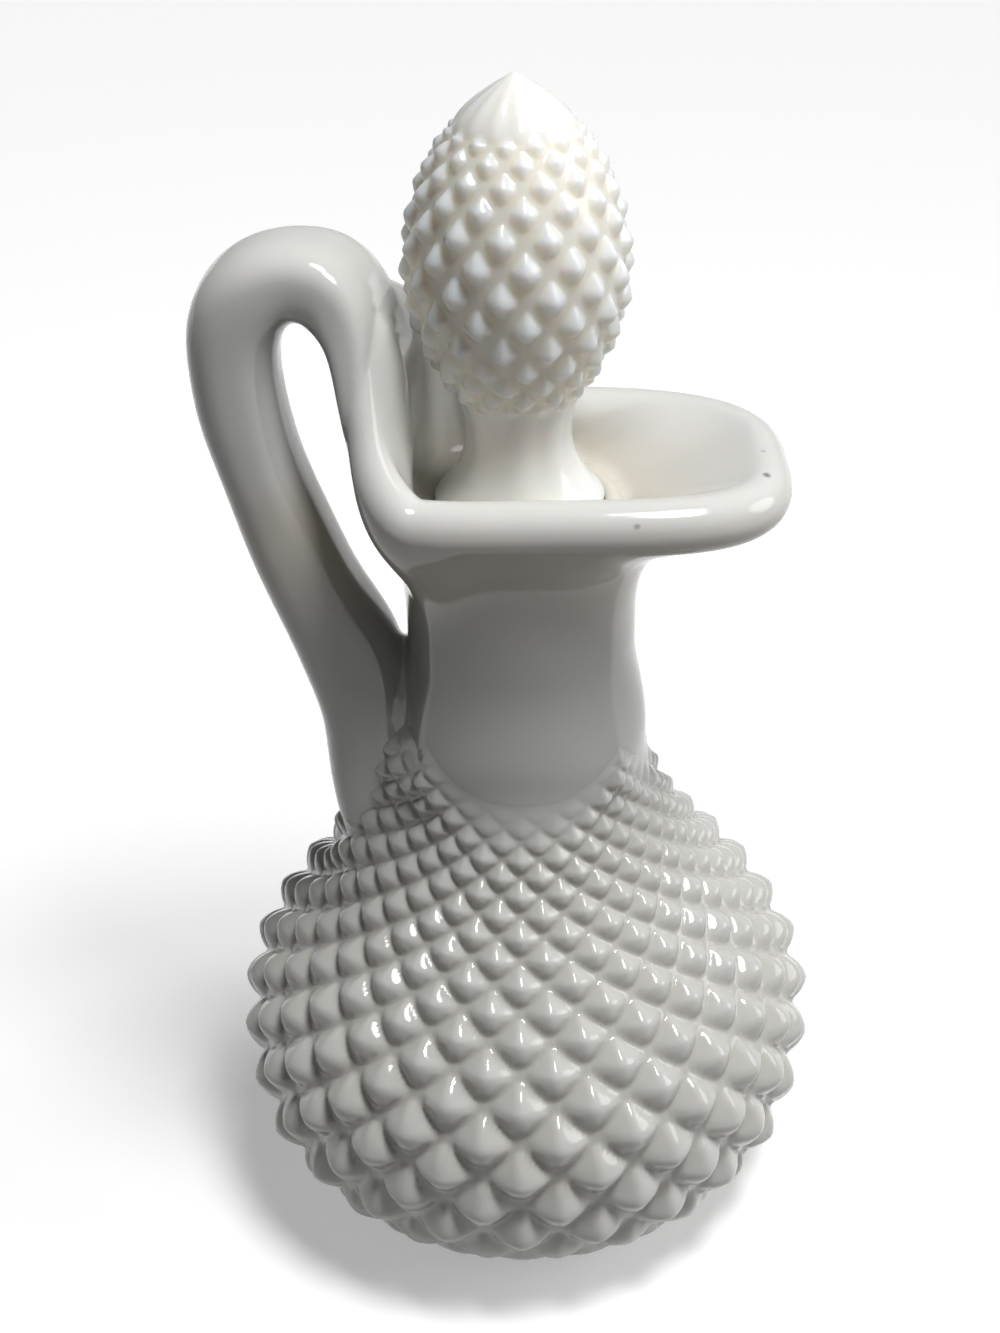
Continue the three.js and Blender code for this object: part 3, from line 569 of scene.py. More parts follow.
def neck_and_lip_rings(shape):
    """Closed stack of rings: up the neck, out to the rim, over the roll, down the trough, over
    the bead round the seat and down the bore, back to the first ring."""
    angle = around(360)[None, :]
    height = np.linspace(58.0, FLARE_START, 66)[:, None]
    neck = neck_ring(angle + 0 * height, height + 0 * angle, shape)
    share = np.linspace(0.0, 1.0, 34)[1:, None]
    turn = under_roll(angle) + (over_roll(angle) - under_roll(angle)) * share
    roll = rim_ring(angle, turn, shape.roll)
    bead = SEAT_RADIUS + BEAD_WIDTH
    t = np.linspace(0.0, 1.0, 11)[1:]
    seat = list(zip(bead - BEAD_WIDTH * t, TROUGH_FLOOR + BEAD_RISE * np.sqrt(1 - (1.5 * t - 1) ** 2)))
    seat += [[10.35, 104.6], [10.0, 103.5], [9.35, 92.0], [8.7, 80.0]]
    bore = [[8.7, 73.0], [9.6, 68.0], [12.5, 62.0], [16.0, 58.0]]
    lining = turned(seat + bore, 360)
    return np.concatenate([neck, flare_rings(angle, shape), roll, trough_rings(angle, bead, shape), lining])


def handle_rings():
    """Rounded sections carried along the handle's middle line, square to it and twisted about
    it. A section is the curve |a / thickness|^n + |y / width|^n = 1, squarer where it is twisted,
    in the broad root that grows out of the lip's wall."""
    line = spline(HANDLE_LINE, 360)
    middle = np.stack([-line[:, 0], line[:, 1]], -1)
    along = np.gradient(middle, axis=0)
    along /= np.linalg.norm(along, axis=1, keepdims=True)
    angle = around(120)[None, :]
    c, s = np.cos(angle), np.sin(angle)
    n = HANDLE_SQUARENESS + TWIST_SQUARENESS * np.maximum(line[:, 4:], 0.0)
    r = (np.abs(c) ** n + np.abs(s) ** n) ** (-1.0 / n)
    thick, wide = r * c * line[:, 2:3], r * s * line[:, 3:4]
    twist = np.radians(line[:, 4:])
    across = thick * np.cos(twist) + wide * np.sin(twist)
    sideways = wide * np.cos(twist) - thick * np.sin(twist)
    x = middle[:, :1] + across * along[:, 1:]
    z = middle[:, 1:] - across * along[:, :1]
    return np.stack([x, sideways, z], -1)


def mesh_arrays(mesh):
    """Corner points in metres and the edges of a mesh."""
    points = np.zeros(len(mesh.vertices) * 3)
    mesh.vertices.foreach_get("co", points)
    edges = np.zeros(len(mesh.edges) * 2, np.int64)
    mesh.edges.foreach_get("vertices", edges)
    return points.reshape(-1, 3), edges.reshape(-1, 2)


def neighbour_mean(values, edges):
    """Mean of the values at the points that share an edge with each point."""
    count = len(values)
    ends = np.concatenate([edges[:, 0], edges[:, 1]])
    others = np.concatenate([edges[:, 1], edges[:, 0]])
    degree = np.maximum(np.bincount(ends, minlength=count), 1)
    if values.ndim == 1:
        return np.bincount(ends, values[others], count) / degree
    sums = [np.bincount(ends, values[others, k], count) for k in range(values.shape[1])]
    return np.stack(sums, -1) / degree[:, None]


def apply_modifiers(piece):
    """Replaces the piece's mesh by the one that its modifiers give."""
    graph = bpy.context.evaluated_depsgraph_get()
    result = bpy.data.meshes.new_from_object(piece.evaluated_get(graph))
    piece.modifiers.clear()
    old = piece.data
    piece.data = result
    bpy.data.meshes.remove(old)


def link(name, mesh):
    """New object in the scene that shows the mesh."""
    piece = bpy.data.objects.new(name, mesh)
    bpy.context.scene.collection.objects.link(piece)
    return piece


def crease_mask(points, normals, edges, spacing):
    """1 near inward creases and 0 elsewhere: where the neighbours' mean lies well above the
    surface, spread over a few rings of points and then blurred."""
    hollow = np.einsum("ij,ij->i", neighbour_mean(points, edges) - points, normals)
    mask = rising(hollow / spacing, CREASE_HOLLOW, CREASE_RANGE)
    for _ in range(4):
        mask = np.maximum(mask, 0.999 * np.clip(2.2 * neighbour_mean(mask, edges), 0.0, 1.0))
    for _ in range(6):
        mask = neighbour_mean(mask, edges)
    return np.clip(mask * 1.4, 0.0, 1.0)


def relax(points, edges, share, passes):
    """Moves the points by a share of the way to their neighbours' mean, in several passes."""
    for _ in range(passes):
        points += share * (neighbour_mean(points, edges) - points)


def voxel_skin(name, source, voxel):
    """One closed skin over the overlapping shells of the source, with its points and edges."""
    piece = link(name, source.data.copy())
    remesh = piece.modifiers.new("skin", "REMESH")
    remesh.mode = "VOXEL"
    remesh.voxel_size = voxel
    apply_modifiers(piece)
    points, edges = mesh_arrays(piece.data)
    relax(points, edges, share=0.5, passes=SKIN_PASSES)
    piece.data.vertices.foreach_set("co", points.ravel())
    piece.data.update()
    return piece, points, edges


def draw_back(piece, source, mask):
    """Moves the skin's points onto the shells, by less the nearer they are to a crease."""
    group = piece.vertex_groups.new(name="away_from_creases")
    levels = np.round((1.0 - mask) * WEIGHT_STEPS).astype(int)
    for level in range(1, WEIGHT_STEPS + 1):
        group.add(np.flatnonzero(levels == level).tolist(), level / WEIGHT_STEPS, "REPLACE")
    wrap = piece.modifiers.new("draw back", "SHRINKWRAP")
    wrap.target = source
    wrap.wrap_method = "NEAREST_SURFACEPOINT"
    wrap.vertex_group = group.name
    apply_modifiers(piece)
    piece.vertex_groups.clear()


def fuse(name, meshes, voxel):
    """One skin over overlapping closed shells: voxel remesh, a crease mask, points drawn back to
    the shells away from the creases, and fillets by relaxing the points inside the mask."""
    shells = [link(f"{name}_shell_{i}", mesh) for i, mesh in enumerate(meshes)]
    with bpy.context.temp_override(active_object=shells[0], selected_editable_objects=shells):
        bpy.ops.object.join()
    source = shells[0]
    piece, points, edges = voxel_skin(name, source, voxel)
    normals = np.zeros(len(points) * 3)
    piece.data.vertices.foreach_get("normal", normals)
    mask = crease_mask(points, normals.reshape(-1, 3), edges, voxel)
    draw_back(piece, source, mask)
    points, edges = mesh_arrays(piece.data)
    relax(points, edges, share=0.5 * mask[:, None], passes=FILLET_PASSES)
    relax(points, edges, share=0.35, passes=SKIN_PASSES)
    piece.data.vertices.foreach_set("co", points.ravel())
    piece.data.polygons.foreach_set("use_smooth", np.ones(len(piece.data.polygons), bool))
    piece.data.update()
    bpy.data.objects.remove(source)
    return piece


def finial_outline(shape):
    """Outline of the finial under its hobs as radius, height and lattice coordinate."""
    t = np.linspace(0.0, 1.0, 900)
    root, belly = FINIAL_ROOT_RADIUS, FINIAL_RADIUS
    radius = np.concatenate([cubic(root, 7.9, belly, belly, t), cubic(belly, belly, 9.0, root, t[1:])])
    low = cubic(FINIAL_START, 121.0, 126.0, FINIAL_WAIST, t)
    high = cubic(FINIAL_WAIST, 141.5, 147.0, CAP_START, t[1:])
    s = np.linspace(0.0, 1.0, 300)[1:]
    radius = np.concatenate([radius, root * (1 - s**1.55)])
    height = np.concatenate([low, high, CAP_START + CAP_RISE * s])
    way = np.hypot(np.diff(radius), np.diff(height))
    middle = np.maximum((radius[1:] + radius[:-1]) / 2, 3.0)
    lattice = np.concatenate([[0.0], np.cumsum(way / (shape.finial_step * middle))]) - 0.5
    return radius, height, lattice


def shank_panels(angle):
    """Faint upright panels round the shank, as a share of its radius."""
    return SHANK_PANELS * np.cos(8 * angle)[None, :]


def shank_rings(angle):
    """Rings of the skirt, the waisted shank and the root that widens into the finial."""
    t = np.linspace(0.0, 1.0, 26)[:, None]
    skirt = [[9.7, 103.5], [9.95, 104.3], [10.2, 105.1]]
    shank = np.concatenate([cubic(10.3, 8.3, 6.2, 6.2, t), cubic(105.6, 107.6, 110.7, 113.7, t)], 1)
    t = t[1:]
    root_radius = cubic(6.2, 6.2, 6.5, FINIAL_ROOT_RADIUS, t)
    root_height = cubic(113.7, 115.4, 116.9, FINIAL_START, t)
    root = np.concatenate([root_radius, root_height], 1)
    outline = np.concatenate([skirt, shank, root])[:-1]
    z = outline[:, 1:]
    r = outline[:, :1] * (1.0 + shank_panels(angle) * rising(z, start=106.5, span=4.0))
    return np.stack([r * np.cos(angle), r * np.sin(angle), z + 0 * angle], -1)


def stopper_rings(shape):
    """Stopper glass in one skin: skirt, waisted shank with faint panels, egg of hobs, and the
    pointed cap with soft flutes that run down from its tip."""
    columns = 20 * shape.finial_columns
    angle = around(columns)
    low_rings = shank_rings(angle)
    outline_radius, outline_height, outline_lattice = finial_outline(shape)
    top = np.interp(CAP_START, outline_height, outline_lattice)
    cap = top + (outline_lattice[-1] - top) * np.linspace(0.0, 0.985, 30)
    lattice = np.concatenate([np.arange(-0.5, top, 1 / 12), cap])
    radius = np.interp(lattice, outline_lattice, outline_radius)
    height = np.interp(lattice, outline_lattice, outline_height)
    slope_r, slope_z = np.gradient(radius, lattice), np.gradient(height, lattice)
    length = np.hypot(slope_r, slope_z)
    turn = np.degrees(angle) + 90.0 - shape.finial_turn
    across = turn[None, :] * shape.finial_columns / 360.0
    hob = hob_height(across, lattice[:, None] + 1.0, shape.finial_fullness, FINIAL_FILLED)
    z = height[:, None]
    mask = rising(z, start=118.3, span=1.6) * falling(z, end=150.2, span=1.1)
    flutes = FLUTE_DEPTH * np.cos(2 * np.pi * across)
    flutes = flutes * rising(z, start=149.0, span=1.2) * falling(z, end=155.0, span=3.0)
    lift = hob * mask * shape.finial_rise * radius[:, None] + flutes
    panels = shank_panels(angle) * falling(z, end=FINIAL_START + 1.0, span=1.5)
    r = radius[:, None] * (1.0 + panels) + lift * (slope_z / length)[:, None]
    z = z - lift * (slope_r / length)[:, None]
    finial = np.stack([r * np.cos(angle), r * np.sin(angle), z], -1)
    # height out of the valleys, which the material turns into painted shade in them
    low_hobs = np.full((len(low_rings), columns), PLAIN_STOPPER)
    hobs = np.concatenate([low_hobs, hob * mask + PLAIN_STOPPER * (1.0 - mask)])
    return np.concatenate([low_rings, finial]), hobs


def plug_rings():
    """Ground cone of the stopper, from its rounded end up to the skirt."""
    profile = [[3.0, 80.3], [5.5, 80.05], [7.2, 80.0], [7.9, 80.15], [8.3, 80.6], [8.45, 81.3]]
    height = np.linspace(82.5, 103.5, 18)
    profile += list(zip(PLUG_RADIUS + PLUG_TAPER * (height - PLUG_START) / PLUG_LENGTH, height))
    return turned(profile, 96)


def add_hob_attribute(mesh, hobs):
    """Stores how far each point stands up out of the valleys, from which the material paints shade."""
    values = np.zeros(len(mesh.vertices), np.float32)
    values[: hobs.size] = hobs.ravel()
    mesh.attributes.new("hob", "FLOAT", "POINT").data.foreach_set("value", values)


def new_group(name, inputs, outputs):
    """Empty shader node group with the named sockets."""
    group = bpy.data.node_groups.new(name, "ShaderNodeTree")
    for label, kind, default in inputs:
        socket = group.interface.new_socket(name=label, in_out="INPUT", socket_type=kind)
        socket.default_value = default
    for label, kind in outputs:
        group.interface.new_socket(name=label, in_out="OUTPUT", socket_type=kind)
    return group, group.nodes.new("NodeGroupInput"), group.nodes.new("NodeGroupOutput")


def math_node(tree, operation, first, second):
    """Result of one sum or product, each side a number or a socket."""
    node = tree.nodes.new("ShaderNodeMath")
    node.operation = operation
    for socket, value in zip(node.inputs, (first, second)):
        if isinstance(value, (int, float)):
            socket.default_value = value
        else:
            tree.links.new(value, socket)
    return node.outputs[0]


def mix_colour(tree, factor, first, second):
    """Colour between the first and the second one, each a value or a socket."""
    node = tree.nodes.new("ShaderNodeMix")
    node.data_type = "RGBA"
    for socket, value in ((node.inputs[0], factor), (node.inputs[6], first), (node.inputs[7], second)):
        if isinstance(value, (int, float, tuple)):
            socket.default_value = value
        else:
            tree.links.new(value, socket)
    return node.outputs[2]


def noise(tree, place, scale, detail=2.0):
    """Cloudy value from 0 to 1 that varies with the place."""
    node = tree.nodes.new("ShaderNodeTexNoise")
    node.inputs["Scale"].default_value = scale
    node.inputs["Detail"].default_value = detail
    tree.links.new(place, node.inputs["Vector"])
    return node.outputs["Fac"]


def smooth_ramp(tree, value, first, last, top=1.0):
    """0 where the value is the first one, top where it is the last one, smooth between them."""
    node = tree.nodes.new("ShaderNodeMapRange")
    node.interpolation_type = "SMOOTHSTEP"
    tree.links.new(value, node.inputs["Value"])
    node.inputs["From Min"].default_value = first
    node.inputs["From Max"].default_value = last
    if isinstance(top, float):
        node.inputs["To Max"].default_value = top
    else:
        tree.links.new(top, node.inputs["To Max"])
    return node.outputs["Result"]


def cloudy_glass_and_valley_shade_group():
    """Slow drifts of tone and a barely wavy surface, as in glass pressed from a hot gather, and painted
    shade in the valleys between hobs, where a low Height takes the darker, warm tone.
    """
    group, enter, leave = new_group(
        "cloudy glass and valley shade",
        [
            ("Place", "NodeSocketVector", (0.0, 0.0, 0.0)),
            ("Cool", "NodeSocketColor", (0.8, 0.8, 0.8, 1.0)),
            ("Warm", "NodeSocketColor", (0.8, 0.78, 0.74, 1.0)),
            ("Height", "NodeSocketFloat", 0.5),
        ],
        [("Colour", "NodeSocketColor"), ("Waviness", "NodeSocketFloat"), ("Roughness", "NodeSocketFloat")],
    )
    place = enter.outputs["Place"]
    drift = noise(group, place, scale=55.0, detail=3.0)
    wave = noise(group, place, scale=140.0, detail=1.0)
    fine = noise(group, place, scale=420.0)
    swing = math_node(group, "MULTIPLY", math_node(group, "SUBTRACT", drift, 0.5), 1.1)
    # a low Height, in a valley, leans to the warm tone: painted shade there; the drift adds random tone
    share = math_node(group, "ADD", math_node(group, "SUBTRACT", 1.0, enter.outputs["Height"]), swing)
    clamp = group.nodes.new("ShaderNodeClamp")
    group.links.new(share, clamp.inputs["Value"])
    colour = mix_colour(group, clamp.outputs[0], enter.outputs["Cool"], enter.outputs["Warm"])
    rough = math_node(group, "ADD", 0.06, math_node(group, "MULTIPLY", fine, 0.08))
    group.links.new(colour, leave.inputs["Colour"])
    group.links.new(wave, leave.inputs["Waviness"])
    group.links.new(rough, leave.inputs["Roughness"])


def speck_group():
    """Small dark inclusion in the glass: dark inside the radius round its centre."""
    group, enter, leave = new_group(
        "speck",
        [
            ("Place", "NodeSocketVector", (0.0, 0.0, 0.0)),
            ("Centre", "NodeSocketVector", (0.0, 0.0, 0.0)),
            ("Radius", "NodeSocketFloat", 0.0006),
            ("Depth", "NodeSocketFloat", 0.6),
            ("Colour", "NodeSocketColor", (0.8, 0.8, 0.8, 1.0)),
        ],
        [("Colour", "NodeSocketColor")],
    )
    distance = group.nodes.new("ShaderNodeVectorMath")
    distance.operation = "DISTANCE"
    group.links.new(enter.outputs["Place"], distance.inputs[0])
    group.links.new(enter.outputs["Centre"], distance.inputs[1])
    edge = noise(group, enter.outputs["Place"], scale=1500.0)
    ragged = math_node(group, "MULTIPLY", edge, 0.8)
    far = math_node(group, "DIVIDE", distance.outputs["Value"], enter.outputs["Radius"])
    far = math_node(group, "ADD", far, ragged)
    dark = smooth_ramp(group, far, 1.5, 0.6, enter.outputs["Depth"])
    colour = mix_colour(group, dark, enter.outputs["Colour"], SPECK_TONE)
    group.links.new(colour, leave.inputs["Colour"])


def height_band(tree, height, up, down, most):
    """0 outside a band of height and most inside it, with the two heights between which it goes
    up and the two between which it goes down again."""
    edge = smooth_ramp(tree, height, *up, most)
    return math_node(tree, "MULTIPLY", edge, smooth_ramp(tree, height, *down))


def paint_light_and_shade_by_height(tree, place, colour):
    """Painted light and shade by height from neck to rim: painted shade on the neck under the lip's
    overhang, a painted warm glow through the thin flare above it, and painted light on the rim
    and all above it. Heights are in metres."""
    split = tree.nodes.new("ShaderNodeSeparateXYZ")
    tree.links.new(place, split.inputs["Vector"])
    height = split.outputs["Z"]
    # painted shade on the neck and on the handle beside it, which lie under the lip's overhang
    neck = height_band(tree, height, up=(0.06, 0.078), down=(0.1, 0.086), most=0.7)
    colour = mix_colour(tree, neck, colour, NECK_PAINTED_SHADE)
    # painted light on the rim and on all of the lip and handle above it
    rim = smooth_ramp(tree, height, first=0.104, last=0.11, top=0.5)
    colour = mix_colour(tree, rim, colour, RIM_PAINTED_LIGHT)
    # painted warm glow of light passing through the thin flare and the roll
    flare = height_band(tree, height, up=(0.088, 0.1), down=(0.112, 0.105), most=0.6)
    return mix_colour(tree, flare, colour, FLARE_PAINTED_GLOW)


def add_specks(tree, place, colour):
    """The colour with the dark specks that stand in the lip."""
    for centre, radius, depth in SPECKS:
        speck = tree.nodes.new("ShaderNodeGroup")
        speck.node_tree = bpy.data.node_groups["speck"]
        tree.links.new(place, speck.inputs["Place"])
        speck.inputs["Centre"].default_value = centre
        speck.inputs["Radius"].default_value = radius
        speck.inputs["Depth"].default_value = depth
        tree.links.new(colour, speck.inputs["Colour"])
        colour = speck.outputs["Colour"]
    return colour


def new_material(name):
    """New material. Gives its node tree, its surface shader and the place in the object."""
    material = bpy.data.materials.new(name)
    material.use_nodes = True
    tree = material.node_tree
    place = tree.nodes.new("ShaderNodeTexCoord").outputs["Object"]
    return tree, tree.nodes["Principled BSDF"], place


def add_bump(tree, body, height, strength, depth):
    """Fine relief of the given depth on the surface."""
    bump = tree.nodes.new("ShaderNodeBump")
    bump.inputs["Strength"].default_value = strength
    bump.inputs["Distance"].default_value = depth
    tree.links.new(height, bump.inputs["Height"])
    tree.links.new(bump.outputs["Normal"], body.inputs["Normal"])


def let_light_in(body, glow, depth):
    """Share of light that enters the glass, and how far it travels there, red further than blue."""
    body.inputs["IOR"].default_value = 1.52
    body.inputs["Subsurface Weight"].default_value = glow
    body.inputs["Subsurface Radius"].default_value = (1.0, 0.8, 0.6)
    body.inputs["Subsurface Scale"].default_value = depth


def glass_material(name, look, tones, glow, hobs):
    """Opaque white glass: gloss over a body that light enters a little, with its tone from the group
    of cloudy drift and valley shade. tones holds the cool and the warm one, glow the share of light
    that enters and its depth. Glass with hobs has painted shade in the valleys between them, darker
    and warmer. Glass without them, in the neck and the lip, has painted light and shade by height
    and the specks."""
    tree, body, place = new_material(name)
    cloud = tree.nodes.new("ShaderNodeGroup")
    cloud.node_tree = bpy.data.node_groups["cloudy glass and valley shade"]
    tree.links.new(place, cloud.inputs["Place"])
    cloud.inputs["Cool"].default_value = (*tones[0], 1.0)
    cloud.inputs["Warm"].default_value = (*tones[1], 1.0)
    colour = cloud.outputs["Colour"]
    if hobs:
        # painted shade in the valleys: the lower the hob, the darker and warmer the glass
        hob = tree.nodes.new("ShaderNodeAttribute")
        hob.attribute_name = "hob"
        tree.links.new(hob.outputs["Fac"], cloud.inputs["Height"])
    else:
        cloud.inputs["Height"].default_value = PLAIN_LIP
        # painted light and shade by height, then the dark specks in the lip
        colour = add_specks(tree, place, paint_light_and_shade_by_height(tree, place, colour))
    tree.links.new(colour, body.inputs["Base Color"])
    tree.links.new(cloud.outputs["Roughness"], body.inputs["Roughness"])
    add_bump(tree, body, cloud.outputs["Waviness"], strength=0.25, depth=look.waviness)
    let_light_in(body, *glow)


def ground_material(look):
    """Ground glass: matt and finely scored round the plug."""
    tree, body, place = new_material("ground glass")
    stretch = tree.nodes.new("ShaderNodeMapping")
    stretch.inputs["Scale"].default_value = (60.0, 60.0, 2600.0)
    tree.links.new(place, stretch.inputs["Vector"])
    score = noise(tree, stretch.outputs["Vector"], scale=1.0, detail=3.0)
    tone = mix_colour(tree, score, SCORED_DARK, SCORED_PALE)
    tree.links.new(tone, body.inputs["Base Color"])
    rough = math_node(tree, "ADD", 0.5, math_node(tree, "MULTIPLY", score, 0.2))
    tree.links.new(rough, body.inputs["Roughness"])
    add_bump(tree, body, score, strength=0.4, depth=0.0001)
    let_light_in(body, look.glow, look.glow_depth)


def place_piece(piece, finish, body, nodes):
    """Gives a finished piece its material and its body, and hides the CAD nodes it stands for."""
    piece.data.materials.clear()
    piece.data.materials.append(bpy.data.materials[finish])
    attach(piece, body)
    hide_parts(*nodes)


class CruetShape(bpy.types.PropertyGroup):
    """Sizes and counts of the pressed pattern."""

    columns: IntProperty(name="Hob columns", description="Hobs round the bowl", default=24, min=12, max=36)
    turn: FloatProperty(name="Hob turn", description="Turn of the bowl's lattice in degrees", default=-1.5)
    rise: FloatProperty(
        name="Hob rise", description="Height of a hob as a share of the radius", default=0.066
    )
    fullness: FloatProperty(
        name="Hob fullness", description="0 is a pyramid, 1 is a dome", default=0.38, min=0.0, max=1.0
    )
    root: FloatProperty(
        name="Root", description="Swelling of the shoulder at the handle in millimetres", default=4.6
    )
    edge: FloatProperty(
        name="Panel edge", description="How far the neck's edges stand out, as a share", default=0.07
    )
    roll: FloatProperty(name="Rim roll", description="Radius of the rolled rim in millimetres", default=3.3)
    finial_columns: IntProperty(
        name="Finial columns", description="Hobs round the finial", default=14, min=8, max=24
    )
    finial_turn: FloatProperty(
        name="Finial turn", description="Turn of the finial's lattice in degrees", default=4.5
    )
    finial_step: FloatProperty(
        name="Finial step", description="Half row as a share of the radius", default=0.265
    )
    finial_rise: FloatProperty(
        name="Finial rise", description="Height of its hobs as a share of the radius", default=0.102
    )
    finial_fullness: FloatProperty(
        name="Finial fullness", description="0 is a pyramid, 1 is a dome", default=0.3, min=0.0, max=1.0
    )
    voxel: FloatProperty(
        name="Skin step", description="Spacing of the fused skin", default=0.00045, unit="LENGTH"
    )


class CruetLook(bpy.types.PropertyGroup):
    """Colours and gloss of the glass."""

    # the cool tone is the hobs' tips; the warm one is random drift and painted shade in the valleys
    cool: FloatVectorProperty(
        name="Cool white",
        description="Tone of the thick glass",
        subtype="COLOR",
        size=3,
        default=(0.69, 0.695, 0.675),
    )
    warm_and_valley_shade: FloatVectorProperty(
        name="Warm white",
        description="Tone of thin glass and valleys",
        subtype="COLOR",
        size=3,
        default=(0.655, 0.645, 0.6),
    )
    bowl_tone: FloatProperty(
        name="Bowl tone", description="Tone of the bowl as a share of the rest", default=0.93
    )
    # the stopper white is its hobs' tips; the ivory is random drift and painted shade in the valleys
    bright: FloatVectorProperty(
        name="Stopper white",
        description="Tone of the stopper's hobs",
        subtype="COLOR",
        size=3,
        default=(0.94, 0.945, 0.915),
    )
    ivory_and_valley_shade: FloatVectorProperty(
        name="Stopper ivory",
        description="Tone between the stopper's hobs",
        subtype="COLOR",
        size=3,
        default=(0.91, 0.885, 0.8),
    )
    glow: FloatProperty(
        name="Glow", description="Share of light that enters the glass", default=0.35, min=0.0, max=1.0
    )
    stopper_glow: FloatProperty(
        name="Stopper glow", description="The same in the stopper", default=0.85, min=0.0, max=1.0
    )
    glow_depth: FloatProperty(
        name="Glow depth", description="How far it travels inside", default=0.0025, unit="LENGTH"
    )
    stopper_glow_depth: FloatProperty(
        name="Stopper glow depth", description="The same in the stopper", default=0.005, unit="LENGTH"
    )
    waviness: FloatProperty(
        name="Waviness", description="Depth of the surface waves", default=0.0003, unit="LENGTH"
    )


class CruetStudio(bpy.types.PropertyGroup):
    """Floor, lamps and the light of the surroundings."""

    floor: FloatVectorProperty(
        name="Floor",
        description="Colour of floor and backdrop",
        subtype="COLOR",
        size=3,
        default=(0.9, 0.9, 0.9),
    )
    veil: FloatProperty(
        name="Veil", description="Plain light that the camera sees in the near floor", default=0.36
    )
    far_veil: FloatProperty(name="Far veil", description="The same in the far floor", default=0.45)
    bounce: FloatProperty(
        name="Bounce", description="Paleness of the near floor as the object sees it", default=0.36
    )
    key: FloatProperty(name="Key", description="Power of the lamp on the right", default=0.86)
    top: FloatProperty(name="Top", description="Power of the far lamp overhead", default=1.2)
    near: FloatProperty(name="Near", description="Power of the near lamp overhead", default=0.68)
    fill: FloatProperty(name="Fill", description="Strength of the light from all round", default=0.03)
    mirrored: FloatProperty(
        name="Mirrored", description="Strength of the surroundings in reflections", default=0.4
    )


class CRUET_OT_finishes(bpy.types.Operator):
    """Builds the shared node groups and the materials of the glass."""

    bl_idname = "cruet.finishes"
    bl_label = "Glass finishes"

    def execute(self, context):
        look = context.scene.cruet_look
        cloudy_glass_and_valley_shade_group()
        speck_group()
        tones = (look.cool, look.warm_and_valley_shade)
        bowl_tones = [[value * look.bowl_tone for value in tone] for tone in tones]
        glow = (look.glow, look.glow_depth)
        stopper_glow = (look.stopper_glow, look.stopper_glow_depth)
        glass_material("bowl glass", look, bowl_tones, glow, hobs=True)
        glass_material("lip glass", look, tones, glow, hobs=False)
        glass_material("stopper glass", look, (look.bright, look.ivory_and_valley_shade), stopper_glow, hobs=True)
        ground_material(look)
        return {"FINISHED"}


class CRUET_OT_bowl(bpy.types.Operator):
    """Builds the hobnail bowl with its foot and inner wall."""

    bl_idname = "cruet.bowl"
    bl_label = "Hobnail bowl"

    def execute(self, context):
        rings, hobs = bowl_rings(context.scene.cruet_shape)
        mesh = ring_stack("hobnail_bowl", rings)
        add_hob_attribute(mesh, hobs)
        place_piece(link("hobnail_bowl", mesh), "bowl glass", "cruet", ["bowl"])
        return {"FINISHED"}


class CRUET_OT_neck_lip_handle(bpy.types.Operator):
    """Builds the panelled neck, the pouring lip and the loop handle as one fused skin."""

    bl_idname = "cruet.neck_lip_handle"
    bl_label = "Neck, lip and handle"

    def execute(self, context):
        shape = context.scene.cruet_shape
        lip = ring_stack("lip_shell", neck_and_lip_rings(shape), wrap=True)
        handle = ring_stack("handle_shell", handle_rings())
        piece = fuse("neck_lip_handle", [lip, handle], shape.voxel)
        nodes = ["neck", "pouring_lip", "handle"]
        place_piece(piece, "lip glass", "cruet", nodes)
        return {"FINISHED"}


class CRUET_OT_stopper(bpy.types.Operator):
    """Builds the stopper's finial and shank, and its ground plug."""

    bl_idname = "cruet.stopper"
    bl_label = "Stopper"

    def execute(self, context):
        rings, hobs = stopper_rings(context.scene.cruet_shape)
        mesh = ring_stack("hobnail_stopper", rings)
        add_hob_attribute(mesh, hobs)
        piece = link("hobnail_stopper", mesh)
        nodes = ["stopper_finial", "stopper_shank"]
        place_piece(piece, "stopper glass", "stopper", nodes)
        plug = link("ground_plug_glass", ring_stack("ground_plug_glass", plug_rings()))
        place_piece(plug, "ground glass", "stopper", ["ground_plug"])
        return {"FINISHED"}


def place_lamp(name, lamp, place, aim):
    """Sets the lamp at its place and turns it to what it shines on."""
    holder = bpy.data.objects.new(name, lamp)
    holder.location = place
    holder.rotation_euler = (Vector(place) - Vector(aim)).to_track_quat("Z", "Y").to_euler()
    bpy.context.scene.collection.objects.link(holder)


def far_lamp(name, place, spread, power):
    """Far soft lamp that shines from its place to the foot of the object, its spread in degrees."""
    lamp = bpy.data.lights.new(name, "SUN")
    lamp.angle = np.radians(spread)
    lamp.energy = power
    place_lamp(name, lamp, place, (0.0, 0.0, 0.0))


def near_lamp(name, place, size, power):
    """Round soft lamp close above the object, so that the stopper gets more light than the foot."""
    lamp = bpy.data.lights.new(name, "AREA")
    lamp.shape = "DISK"
    lamp.size = size
    lamp.energy = power
    place_lamp(name, lamp, place, (0.0, 0.0, NEAR_AIM))


def seen_directly(tree):
    """1 for rays from the camera and for mirrored ones, 0 for the light that things receive."""
    path = tree.nodes.new("ShaderNodeLightPath")
    return math_node(tree, "MAXIMUM", path.outputs["Is Camera Ray"], path.outputs["Is Glossy Ray"])


def blend(tree, share, near, far):
    """Value between the near and the far one: near + share (far - near)."""
    return math_node(tree, "ADD", near, math_node(tree, "MULTIPLY", share, far - near))


